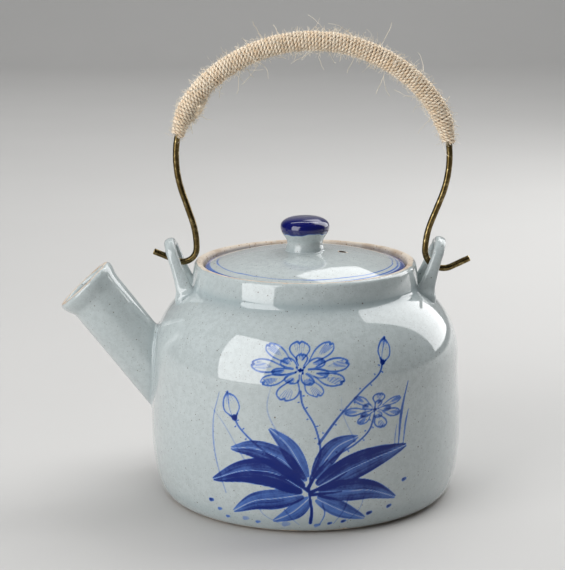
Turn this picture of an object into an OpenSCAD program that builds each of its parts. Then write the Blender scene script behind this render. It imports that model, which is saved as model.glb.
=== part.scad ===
// Stoneware teapot with a lift-off lid, a straight spout and a swinging wire
// bail whose grip is wound with twine. +Z is up, the spout points along -X, and
// the origin is the centre of the foot ring, on the surface the pot stands on.

/* [Pot] */
// Widest outer radius of the pot, low on its wall
belly_r = 69.2; // [66:0.1:73]
// Height of the widest place above the foot
belly_z = 30; // [26:1:36]
// Outer radius of the wall where the shoulder begins
upper_wall_r = 68; // [66:0.1:70]
// Height at which the wall turns into the shoulder
shoulder_z = 61.5; // [56:0.5:64]
// Radius of the shoulder's curve
shoulder_round = 35; // [33:0.5:36]
// Thickness of the thrown wall
wall = 5; // [4:0.1:6]
// Thickness of the floor over the foot recess
floor_t = 6; // [5:0.1:8]
// Outer radius of the ring that the pot stands on
foot_r = 61; // [58:0.1:64]
// Width of the standing ring
foot_w = 5; // [3:0.1:8]
// Depth of the recess inside the standing ring
foot_recess = 1.4; // [0.8:0.1:2.5]

/* [Neck] */
// Height of the rim above the foot
rim_z = 103.3; // [101:0.1:107]
// Outer radius of the upright collar
neck_r = 49; // [47.5:0.1:49.5]
// Thickness of the collar
neck_t = 4.1; // [3.5:0.1:4.6]
// Radius of the hollow curve between collar and shoulder
crease_r = 3; // [2:0.5:4]
// Depth of the lid's ledge below the rim
seat_drop = 5.1; // [4.6:0.1:6.5]
// Width of the lid's ledge
seat_w = 5.4; // [4.5:0.1:6.5]
// Thickness of the lid's ledge
seat_t = 3.4; // [2.5:0.1:4.5]

/* [Lid] */
// Gap between the lid's edge and the collar
lid_gap = 0.6; // [0.4:0.1:1]
// Thickness of the lid's edge
lid_edge_t = 3.4; // [2.8:0.1:4]
// Rise of the lid's dome from its edge to its middle
dome_rise = 6.7; // [5:0.1:9]
// Thickness of the dome
dome_t = 4; // [3:0.1:5]
// Gap between the lid's flange and the ledge
flange_gap = 1.1; // [0.8:0.1:1.5]
// Thickness of the locating flange
flange_t = 3.6; // [2.5:0.1:4.5]
// Depth of the flange below the ledge's top
flange_drop = 7.6; // [5:0.1:9]
// Radius of the steam vent
vent_r = 1.5; // [1:0.05:1.75]
// Distance of the vent from the lid's axis
vent_reach = 16.6; // [14:0.1:22]
// Turn of the vent round the lid, from the side away from the spout
vent_turn = -8; // [-45:1:45]

/* [Knob] */
// Widest radius of the knob
knob_r = 10.8; // [9.5:0.1:12]
// Height of the knob above the lid's dome
knob_h = 14.6; // [13:0.1:17]
// Height of the knob's widest place above the dome
knob_wide_z = 9.8; // [9:0.1:11]
// Radius of the knob's waist
knob_waist_r = 7.9; // [6:0.1:8.5]
// Height of the knob's waist above the dome
knob_waist_z = 2.1; // [1.5:0.1:4]
// Radius of the knob's foot on the dome
knob_foot_r = 9.4; // [8.5:0.1:10.5]

/* [Spout] */
// Slope of the spout's axis above level
spout_slope = 52.4; // [48:0.1:58]
// Distance of the mouth's centre from the pot's axis
spout_reach = 97.4; // [93:0.1:103]
// Height of the mouth's centre
spout_mouth_z = 94; // [90:0.1:97]
// Outer radius of the tube where it leaves the pot
spout_root_r = 12.4; // [12:0.1:14]
// Outer radius of the tube just under the lip
spout_neck_r = 12.7; // [12:0.1:14]
// Radius of the channel
spout_bore_r = 9.8; // [8.5:0.1:10]
// Outer radius of the turned-out lip
lip_r = 14; // [13:0.1:14.5]
// Radius of the channel inside the lip
lip_bore_r = 11; // [10.2:0.1:11.5]
// Length over which the lip turns out
lip_length = 9; // [6:0.5:12]
// Bend of the lip towards the pouring side
lip_bend = 5; // [0:0.5:8]

/* [Strainer] */
// Radius of each hole pierced through the wall behind the spout
strainer_r = 1.7; // [1.2:0.1:2]
// Distance between neighbouring strainer holes
strainer_pitch = 5.6; // [5:0.1:6.5]

/* [Ears] */
// Distance of an ear's foot inward from the face of the upper wall
ear_inset = 15.7; // [14:0.1:16.5]
// Height of an ear's foot above the pot's foot
ear_foot_z = 90.6; // [88:0.1:93]
// Outward lean of the ears
ear_lean = 19; // [15:0.5:22]
// Height of an ear, along its lean
ear_h = 24; // [22:0.1:26]
// Width of an ear across its arch
ear_w = 19; // [18:0.1:21]
// Width of an ear across its feet
ear_foot_w = 24; // [22:0.1:27]
// Thickness of the clay strap
strap_t = 3.8; // [3.2:0.1:4.4]
// Width of the strap over the arch
strap_w = 4.8; // [4.5:0.1:5.5]
// Width of the strap at its feet
strap_foot_w = 8; // [5.5:0.1:9]

/* [Bail] */
// Radius of the wire
wire_r = 1.4; // [1.2:0.05:1.6]
// Height of the bail from its hooks to the crown
bail_h = 98; // [92:0.5:104]
// Bend radius of the wire over the middle of the grip
crown_bend_r = 66; // [62:0.5:70]
// Angle of that bend, from the crown to either side
crown_bend = 46; // [42:0.5:50]
// Bend radius over the grip's ends, down to the upright
haunch_bend_r = 43; // [40:0.5:46]
// Slope at which the leg runs in towards the neck
leg_in = 20; // [17:0.5:22]
// Bend radius of the leg's upper curve
leg_in_r = 50; // [44:1:54]
// Bend radius of the leg's lower curve
leg_out_r = 38; // [32:1:42]
// Bend radius of the hook on the spout's side
near_hook_r = 6.2; // [5.8:0.1:7.4]
// Bend radius of the hook on the far side
far_hook_r = 8.2; // [7.4:0.1:8.6]
// Upward slope of the hook's tip on the spout's side
near_hook_rise = 21; // [15:1:32]
// Upward slope of the hook's tip on the far side
far_hook_rise = 27; // [15:1:32]
// Straight length of the hook's tip on the spout's side
near_hook_tip = 11.2; // [7:0.1:13]
// Straight length of the hook's tip on the far side
far_hook_tip = 8.8; // [7:0.1:13]
// Height of the bail's swing axis at the pot's axis
swing_z = 101.1; // [100.5:0.1:102]
// Sideways lean of the bail in its loose ears
bail_lean = 1.8; // [0:0.1:2.2]
// Sideways shift of the bail towards the far ear
bail_shift = 2; // [0:0.1:2.4]

/* [Grip] */
// Outer radius of the finished grip
grip_r = 4.4; // [4:0.1:5]
// Outer radius of the under layer
underwrap_r = 2.6; // [2.3:0.1:2.7]
// Part of each haunch bend that the grip covers
grip_haunch = 19; // [15:1:26]
// Length over which each end of the grip thins
thinning_length = 11; // [8:0.5:14]
// Outer radius of the grip at its very ends
grip_end_r = 2.8; // [2.4:0.1:3.2]

/* [Hidden] */

glaze = [0.74, 0.77, 0.75];
cobalt = [0.07, 0.08, 0.42];
bronze = [0.42, 0.30, 0.16];
jute = [0.80, 0.70, 0.56];
hemp = [0.62, 0.50, 0.36];

ROUND = 96;             // sides of a full circle, where a mesh is drawn
EXTRA = 1;              // overshoot of a cutter past the face it cuts
slack = 0.05;           // looseness between the layers of the grip
weld_length = 0.3;      // length of the lap between two runs of wire
weld_lap = 0.03;        // height of that lap over the wire
foot_bevel = 0.8;       // bevel where the glaze is wiped off the foot
edge_soft = 0.5;        // softened edge of the ledge and of the lid's underside
flange_soft = 0.8;      // rounding at the flange's lower end
rim_round = 1.7;        // height of the rim's rounded top
lid_round = 1.2;        // rounding of the lid's upper edge
round_start = 15;       // angle by which a rounding leaves a slope short of its tangent
under_turn = 55;        // where the inside leaves the ledge for the shoulder's curve
corner_power = 2.2;     // squareness of the wall's lower corner
inside_corner = 5;      // extra softness of the corner inside

// Pot
shoulder_x = upper_wall_r - shoulder_round;
neck_in_r = neck_r - neck_t;
seat_z = rim_z - seat_drop;
seat_in_r = neck_in_r - seat_w;
floor_z = foot_recess + floor_t;
inner_base_r = foot_r - wall - inside_corner;
// The crease touches the collar and the shoulder from outside, so its centre
// lies its own radius away from both.
crease_x = neck_r + crease_r;
crease_z = shoulder_z
    + sqrt(pow(shoulder_round + crease_r, 2) - pow(crease_x - shoulder_x, 2));
crease_turn = atan2(crease_z - shoulder_z, crease_x - shoulder_x);

// Lid
lid_r = neck_in_r - lid_gap;
lid_edge_z = seat_z + lid_edge_t;
dome_top = lid_edge_z + dome_rise;
dome_chord = lid_r - lid_round;
dome_r = (pow(dome_chord, 2) + pow(dome_rise, 2)) / (2 * dome_rise);
dome_half = asin(dome_chord / dome_r);
flange_r = seat_in_r - flange_gap;
flange_in_r = flange_r - flange_t;
flange_bottom = seat_z - flange_drop;
under_dome_r = dome_r - dome_t;

// Spout
spout_axis_z = spout_mouth_z - (spout_reach - belly_r) * tan(spout_slope);
spout_length = (spout_reach - upper_wall_r + 2 * spout_root_r) / cos(spout_slope);
lip_edge = (lip_r - lip_bore_r) / 2;

// Ears
ear_foot_x = upper_wall_r - ear_inset;
loop_r = (ear_w - strap_t) / 2;
leg_foot_y = (ear_foot_w - strap_t) / 2;
arch_z = ear_h - loop_r - strap_t / 2;
strap_sink = 7;         // length of strap that reaches below the shoulder's skin
// Each leg is tangent to the arch and runs out to its foot
strap_splay = acos(loop_r / sqrt(pow(leg_foot_y, 2) + pow(arch_z, 2))) - atan2(arch_z, leg_foot_y);
leg_top_y = loop_r * cos(strap_splay);
leg_top_z = arch_z + loop_r * sin(strap_splay);
leg_reach = leg_top_z / cos(strap_splay);
strap_power = 2.8;      // squareness of the strap's section
ring_points = 20;       // points round the strap
arch_rings = 14;        // rings over the arch, less one
leg_rings = 3;          // rings down each leg

// Bail: every run of the wire follows from its height and its bends
haunch_bend = 90 - crown_bend;
crown_drop = crown_bend_r * (1 - cos(crown_bend));
haunch_drop = haunch_bend_r * sin(haunch_bend);
leg_bends = leg_in_r + leg_out_r;
thinning_steps = 4;     // layers in which the grip thins
thinning_angle = thinning_length / thinning_steps / haunch_bend_r * 180 / PI;
underwrap_gap = 2 * weld_length / haunch_bend_r * 180 / PI;
function thinning_r(k) = grip_r + (grip_end_r - grip_r) * k / thinning_steps;
function leg_straight(hook_r) =
    (bail_h - crown_drop - haunch_drop - leg_bends * sin(leg_in) - hook_r) / cos(leg_in);

function arc(cx, cz, r, a0, a1, n) =
    [for (i = [0:n]) let (a = a0 + (a1 - a0) * i / n) [cx + r * cos(a), cz + r * sin(a)]];

// A quarter of a squared ellipse, from its foot at (r0, z0) up to (r1, z1)
function corner(r0, z0, r1, z1, n) =
    [for (i = [0:n]) let (a = 90 * i / n)
        [r0 + (r1 - r0) * pow(sin(a), 2 / corner_power),
         z1 - (z1 - z0) * pow(cos(a), 2 / corner_power)]];

// A slope that starts and ends upright, without its first point
function ease(r0, z0, r1, z1, n) =
    [for (i = [1:n]) [r0 + (r1 - r0) * (1 - cos(180 * i / n)) / 2, z0 + (z1 - z0) * i / n]];

function reversed(list) = [for (i = [len(list) - 1:-1:0]) list[i]];

// The pot's outside from the foot up to the collar's top edge
outside = concat(
    [[foot_r, 0]],
    corner(foot_r + foot_bevel, foot_bevel, belly_r, belly_z, 10),
    ease(belly_r, belly_z, upper_wall_r, shoulder_z, 6),
    arc(shoulder_x, shoulder_z, shoulder_round, 6, crease_turn, 12),
    arc(crease_x, crease_z, crease_r, 180 + crease_turn, 180, 4));

// The pot's inside from the floor up to the rim's inner edge
inside = concat(
    corner(inner_base_r, floor_z, belly_r - wall, belly_z, 8),
    ease(belly_r - wall, belly_z, upper_wall_r - wall, shoulder_z, 6),
    arc(shoulder_x, shoulder_z, shoulder_round - wall, 6, under_turn, 8),
    [[neck_in_r, seat_z - seat_t - neck_t], [seat_in_r, seat_z - seat_t],
     [seat_in_r, seat_z - edge_soft], [seat_in_r + edge_soft, seat_z], [neck_in_r, seat_z]]);

function rim_curve() =
    [for (i = [0:10]) let (a = 18 * i)
        [neck_r - neck_t / 2 + neck_t / 2 * cos(a), rim_z - rim_round + rim_round * sin(a)]];

module pot_outside() {
    rotate_extrude($fn = ROUND) polygon(concat([[0, 0]], outside, [[0, crease_z]]));
}

// Places a child on the spout's axis: +Z runs out of the mouth, +X is its underside
module on_spout() {
    translate([-spout_reach, 0, spout_mouth_z])
        mirror([1, 0, 0]) rotate([0, 90 - spout_slope, 0]) children();
}

// Rows of holes, each second row shifted by half a pitch, kept within the channel.
// The drill starts outside the widest wall and stops inside the hollow.
module strainer_holes() {
    drill_start = max(belly_r, upper_wall_r) + EXTRA;
    row = strainer_pitch * sin(60);
    keep_y = spout_bore_r - strainer_r;
    keep_z = keep_y / cos(spout_slope);
    for (j = [-6:6], i = [-3:3]) {
        y = (i + (j % 2 == 0 ? 0 : 0.5)) * strainer_pitch;
        z = j * row;
        if (pow(y / keep_y, 2) + pow(z / keep_z, 2) <= 1)
            translate([-drill_start, y, spout_axis_z + z]) rotate([0, 90, 0])
                cylinder(h = drill_start - shoulder_x, r = strainer_r, $fn = 24);
    }
}

// The whole section of the thrown pot
module pot_section() {
    polygon(concat([[0, foot_recess], [foot_r - foot_w - foot_bevel, foot_recess],
                    [foot_r - foot_w, 0]],
                   outside, rim_curve(), reversed(inside), [[0, floor_z]]));
}

// The pot between two heights
module pot_course(low, high) {
    rotate_extrude($fn = ROUND) intersection() {
        pot_section();
        translate([0, low]) square([belly_r + upper_wall_r, high - low]);
    }
}

// Foot ring, floor and the curve up to the belly
module pot_base() {
    color(glaze) pot_course(0, belly_z);
}

// Wall and shoulder from the belly up to the crease, where the collar begins
module pot_body() {
    color(glaze) difference() {
        pot_course(belly_z, crease_z);
        strainer_holes();
    }
}

// The upright collar with its rounded rim and the ledge for the lid
module pot_collar() {
    color(glaze) pot_course(crease_z, rim_z);
}

module spout() {
    color(glaze) difference() {
        union() {
            on_spout() translate([0, 0, -spout_length])
                cylinder(h = spout_length - lip_length, r1 = spout_root_r, r2 = spout_neck_r,
                         $fn = ROUND);
            on_lip() rotate_extrude($fn = ROUND)
                polygon(concat(
                    [[0, -EXTRA], [spout_neck_r, -EXTRA]],
                    ease(spout_neck_r, 0, lip_r, lip_length - lip_edge, 6),
                    arc(lip_r - lip_edge, lip_length - lip_edge, lip_edge, round_start, 90, 5),
                    [[0, lip_length]]));
        }
        on_spout() translate([0, 0, -spout_length - EXTRA])
            cylinder(h = spout_length - lip_length + EXTRA, r = spout_bore_r, $fn = ROUND);
        on_lip() rotate_extrude($fn = ROUND)
            polygon(concat(
                [[0, -EXTRA], [spout_bore_r, -EXTRA]],
                ease(spout_bore_r, 0, lip_bore_r, lip_length - lip_edge, 6),
                arc(lip_r - lip_edge, lip_length - lip_edge, lip_edge, 180 - round_start, 90, 5),
                [[lip_r - lip_edge, lip_length + EXTRA], [0, lip_length + EXTRA]]));
        pot_outside();
    }
}

// The lip stands on the end of the tube, bent a little towards the underside
module on_lip() {
    on_spout() translate([0, 0, -lip_length]) rotate([0, lip_bend, 0]) children();
}

// The strap's centre line in the ear's own plane, as [y, z, turn] from one foot,
// over the arch, to the other
function strap_line() = concat(
    [for (k = [0:leg_rings - 1]) leg_point(-1, 1 - k / leg_rings)],
    [for (k = [0:arch_rings])
        let (a = 180 - strap_splay - (180 - 2 * strap_splay) * k / arch_rings)
        [loop_r * cos(a), arch_z + loop_r * sin(a), a]],
    [for (k = [1:leg_rings]) leg_point(1, k / leg_rings)]);

function leg_point(side, t) = let (down = t * (leg_reach + strap_sink))
    [side * (leg_top_y + down * sin(strap_splay)), leg_top_z - down * cos(strap_splay),
     side > 0 ? strap_splay : 180 - strap_splay];

// Width of the strap at a height: even over the arch, ever wider towards the feet
function strap_width(z) =
    strap_w + (strap_foot_w - strap_w) * pow(max(0, leg_top_z - z) / leg_top_z, 2);

// One ring of points round the strap, a squared oval square to the centre line
function strap_ring(p) = [for (k = [0:ring_points - 1])
    let (a = 360 * k / ring_points,
         c = sign(cos(a)) * pow(abs(cos(a)), 2 / strap_power),
         s = sign(sin(a)) * pow(abs(sin(a)), 2 / strap_power),
         out = strap_t / 2 * s)
    [strap_width(p[1]) / 2 * c, p[0] + out * cos(p[2]), p[1] + out * sin(p[2])]];

module strap() {
    line = strap_line();
    n = ring_points;
    last = len(line) - 1;
    polyhedron(
        points = [for (p = line) each strap_ring(p)],
        faces = concat(
            [[for (k = [0:n - 1]) k]],
            [for (i = [0:last - 1], k = [0:n - 1])
                each [[i * n + k, (i + 1) * n + k, i * n + (k + 1) % n],
                      [(i + 1) * n + k, (i + 1) * n + (k + 1) % n, i * n + (k + 1) % n]]],
            [[for (k = [n - 1:-1:0]) last * n + k]]));
}

module ear(side) {
    color(glaze) difference() {
        translate([side * ear_foot_x, 0, ear_foot_z]) rotate([0, side * ear_lean, 0]) strap();
        pot_outside();
    }
}

module ear_spout_side() { ear(-1); }

module ear_far_side() { ear(1); }

module lid_blank() {
    rotate_extrude($fn = ROUND) polygon(concat(
        arc(0, dome_top - dome_r, dome_r, 90, 90 - dome_half, 10),
        arc(lid_r - lid_round, lid_edge_z - lid_round, lid_round, 90 - round_start, 0, 4),
        [[lid_r, seat_z + edge_soft], [lid_r - edge_soft, seat_z],
         [flange_r, seat_z], [flange_r, flange_bottom + flange_soft],
         [flange_r - flange_soft, flange_bottom], [flange_in_r + flange_soft, flange_bottom],
         [flange_in_r, flange_bottom + flange_soft]],
        arc(0, dome_top - dome_r, under_dome_r, 90 - asin(flange_in_r / under_dome_r), 90, 8)));
}

module lid() {
    color(glaze) difference() {
        lid_blank();
        rotate([0, 0, vent_turn]) translate([vent_reach, 0, dome_top - dome_t - 2 * dome_rise])
            cylinder(h = dome_t + 3 * dome_rise, r = vent_r, $fn = 24);
    }
}

module lid_knob() {
    color(cobalt) difference() {
        translate([0, 0, dome_top]) rotate_extrude($fn = ROUND) polygon(concat(
            [[0, -EXTRA], [knob_foot_r, -EXTRA], [knob_foot_r, 0]],
            ease(knob_foot_r, 0, knob_waist_r, knob_waist_z, 5),
            ease(knob_waist_r, knob_waist_z, knob_r, knob_wide_z, 8),
            [for (i = [1:10]) let (a = 9 * i)
                [knob_r * pow(cos(a), 0.8), knob_wide_z + (knob_h - knob_wide_z) * pow(sin(a), 0.8)]]));
        lid_blank();
    }
}

// Runs of wire or of a layer round it. Each is drawn from the origin along +X in
// the XY plane, and moves its children to its far end, still heading along +X.
module ring_section(r, hole) {
    difference() {
        circle(r = r, $fn = 32);
        if (hole > 0) circle(r = hole, $fn = 32);
    }
}

module straight(length, r, hole = 0) {
    rotate([90, 0, 90]) linear_extrude(height = length) ring_section(r, hole);
    translate([length, 0, 0]) children();
}

// A thin lap that welds one run to the next
module weld(r, hole = 0) {
    rotate([90, 0, 90]) linear_extrude(height = weld_length, center = true)
        ring_section(r + weld_lap, max(0, hole - weld_lap));
}

// side is 1 for a bend to the left and -1 for one to the right
module bend(radius, angle, side, r, hole = 0) {
    translate([0, side * radius, 0]) rotate([0, 0, side > 0 ? -90 : 90 - angle])
        rotate_extrude(angle = angle, $fn = ROUND) translate([radius, 0]) ring_section(r, hole);
    skip_bend(radius, angle, side) children();
}

module skip_bend(radius, angle, side) {
    translate([0, side * radius, 0]) rotate([0, 0, side * angle]) translate([0, -side * radius, 0])
        children();
}

// Half of the wire, from the crown down one leg and out along its hook
module half_wire(hook_r, hook_rise, hook_tip) {
    weld(wire_r);
    bend(crown_bend_r, crown_bend, -1, wire_r) {
        weld(wire_r);
        bend(haunch_bend_r, haunch_bend, -1, wire_r) {
            weld(wire_r);
            bend(leg_in_r, leg_in, -1, wire_r) {
                weld(wire_r);
                straight(leg_straight(hook_r), wire_r) {
                    weld(wire_r);
                    bend(leg_out_r, leg_in, 1, wire_r) {
                        weld(wire_r);
                        bend(hook_r, 90 + hook_rise, 1, wire_r) {
                            weld(wire_r);
                            straight(hook_tip, wire_r);
                        }
                    }
                }
            }
        }
    }
}

// Half of a layer wound round the wire, over the crown and part of the haunch;
// its children are placed at its end
module half_layer(r, hole, cover) {
    weld(r, hole);
    bend(crown_bend_r, crown_bend, -1, r, hole) {
        weld(r, hole);
        bend(haunch_bend_r, cover, -1, r, hole) children();
    }
}

// The end of the grip, where one turn after another lies closer to the wire
module thinning(k = 1) {
    if (k <= thinning_steps) {
        weld(thinning_r(k), wire_r + slack);
        bend(haunch_bend_r, thinning_angle, -1, thinning_r(k), wire_r + slack) thinning(k + 1);
    }
}

// Stands the bail's flat drawing upright in its place on the pot
module on_bail() {
    translate([bail_shift, 0, swing_z]) rotate([0, bail_lean, 0])
        translate([0, 0, bail_h]) rotate([90, 0, 0]) children();
}

module bail_wire() {
    color(bronze) on_bail() {
        half_wire(far_hook_r, far_hook_rise, far_hook_tip);
        mirror([1, 0, 0]) half_wire(near_hook_r, near_hook_rise, near_hook_tip);
    }
}

module grip_underwrap() {
    color(hemp) on_bail() for (side = [0, 1]) mirror([side, 0, 0])
        half_layer(underwrap_r, wire_r + slack, grip_haunch - underwrap_gap);
}

module grip_twine() {
    color(jute) on_bail() for (side = [0, 1]) mirror([side, 0, 0])
        half_layer(grip_r, underwrap_r + slack, grip_haunch) thinning();
}

pot_base();
pot_body();
pot_collar();
spout();
ear_spout_side();
ear_far_side();
lid();
lid_knob();
bail_wire();
grip_underwrap();
grip_twine();
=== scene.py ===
"""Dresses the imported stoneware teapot: glaze, brush painting, brass wire and wound twine."""

from __future__ import annotations

import logging
import math
from dataclasses import dataclass, field
from enum import Enum
from typing import Sequence

import bmesh
import bpy
import numpy as np
from mathutils import Matrix, Quaternion, Vector

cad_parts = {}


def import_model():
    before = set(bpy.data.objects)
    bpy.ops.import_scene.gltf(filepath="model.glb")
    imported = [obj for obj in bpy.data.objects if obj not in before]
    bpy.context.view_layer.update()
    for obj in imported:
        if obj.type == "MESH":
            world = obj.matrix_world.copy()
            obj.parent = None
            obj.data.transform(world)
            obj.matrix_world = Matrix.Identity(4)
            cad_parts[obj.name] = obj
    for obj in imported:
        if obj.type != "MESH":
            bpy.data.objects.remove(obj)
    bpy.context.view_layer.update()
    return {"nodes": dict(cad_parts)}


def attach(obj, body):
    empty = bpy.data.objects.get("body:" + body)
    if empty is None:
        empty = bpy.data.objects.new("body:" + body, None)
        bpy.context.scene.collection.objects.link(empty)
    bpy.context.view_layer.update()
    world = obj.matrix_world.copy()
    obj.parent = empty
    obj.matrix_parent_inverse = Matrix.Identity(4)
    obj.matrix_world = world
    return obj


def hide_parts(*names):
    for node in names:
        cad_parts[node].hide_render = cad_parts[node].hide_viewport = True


LOG = logging.getLogger("teapot")
MM = 0.001
FULL_TURN = 2 * math.pi
ACROSS = np.array([0.0, 1.0, 0.0])
"""The direction square to the bail, the spout and the ears, from front to back."""

Point2 = tuple[float, float]
Point3 = tuple[float, float, float]
Colour = tuple[float, float, float]
Array = np.ndarray
Socket = bpy.types.NodeSocket
Piece = bpy.types.Object
Finish = bpy.types.Material


class Mark(Enum):
    """The float attributes that finishes read from a mesh."""

    INK = "ink"
    BARE = "bare"
    POOL = "pool"
    ALONG = "along"
    PLY = "ply"


# ------------ curves


def arc(cx: float, cz: float, radius: float, start: float, end: float, count: int) -> list[Point2]:
    """Points along an arc about a centre, from one angle to another in degrees."""
    angles = np.radians(np.linspace(start, end, count + 1))
    return [(cx + radius * math.cos(a), cz + radius * math.sin(a)) for a in angles]


def turns(count: int) -> Array:
    """Angles spread evenly round a circle, in radians."""
    return np.linspace(0, FULL_TURN, count, endpoint=False)


def unit(rows: Array) -> Array:
    """The directions of vectors, one vector in each row."""
    return rows / np.linalg.norm(rows, axis=1)[:, None]


def hoop(middle: Array, radius: float | Array, across: Array, up: Array, angles: Array) -> Array:
    """Points round a middle, at angles in radians that turn from across to up."""
    a = angles[:, None]
    return middle + radius * (np.cos(a) * across + np.sin(a) * up)


def smoothstep(low: float, high: float, value: Array) -> Array:
    """Eases values from 0 at low to 1 at high."""
    share = np.clip((value - low) / (high - low), 0.0, 1.0)
    return share * share * (3.0 - 2.0 * share)


def swell(share: float) -> float:
    """Half a cosine wave, from 0 up to 1 as a share of the way goes from 0 to 1."""
    return (1 - math.cos(math.pi * share)) / 2


def bell(value: Array, middle: float | Array, width: float) -> Array:
    """A soft hump that is 1 at its middle."""
    return np.exp(-(((value - middle) / width) ** 2))


def ripple(a: Array, b: Array, scale: float, phase: float = 0.0) -> Array:
    """A repeatable, smooth unevenness over two coordinates, as a sum of three waves.

    Args:
        a: First coordinate, in millimetres.
        b: Second coordinate, in millimetres.
        scale: Size of the unevenness, in millimetres.
        phase: Shifts the pattern.

    Returns:
        Values from about -1 to 1.
    """
    p, q = a / scale, b / scale
    return (
        np.sin(1.7 * p + 0.9 * q + phase)
        + np.sin(-1.1 * p + 2.3 * q + 2.1 * phase + 1.3)
        + np.sin(3.1 * p - 1.9 * q + 0.7 * phase + 4.0)
    ) / 3.0


def resample(points: Sequence[Point2], spacing: float) -> Array:
    """Spreads points evenly along a polyline.

    Args:
        points: The polyline.
        spacing: Wanted distance between points.

    Returns:
        An array of evenly spaced points, both ends kept.
    """
    line = np.asarray(points, float)
    length = np.concatenate([[0.0], np.cumsum(np.linalg.norm(np.diff(line, axis=0), axis=1))])
    count = max(2, int(round(length[-1] / spacing)) + 1)
    at = np.linspace(0.0, length[-1], count)
    return np.stack([np.interp(at, length, line[:, i]) for i in range(line.shape[1])], axis=1)


def spline(points: Sequence[Point2], steps: int = 10) -> Array:
    """A smooth curve through a few given points.

    Args:
        points: The points to pass through.
        steps: Steps between two neighbouring points.

    Returns:
        The curve's points.
    """
    knots = np.asarray(points, float)
    padded = np.vstack([2 * knots[0] - knots[1], knots, 2 * knots[-1] - knots[-2]])
    out = []
    for i in range(1, len(padded) - 2):
        p0, p1, p2, p3 = padded[i - 1 : i + 3]
        for t in np.arange(steps) / steps:
            out.append(0.5 * (2 * p1 + (p2 - p0) * t + (2 * p0 - 5 * p1 + 4 * p2 - p3) * t**2
                              + (3 * p1 - p0 - 3 * p2 + p3) * t**3))
    out.append(knots[-1])
    return np.array(out)


# ------------ meshes


def add_object(name: str, data: bpy.types.ID) -> Piece:
    """Puts a mesh, a camera or a light into the scene.

    Args:
        name: Name of the new object.
        data: What it holds.

    Returns:
        The object.
    """
    thing = bpy.data.objects.new(name, data)
    bpy.context.scene.collection.objects.link(thing)
    return thing


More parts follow.
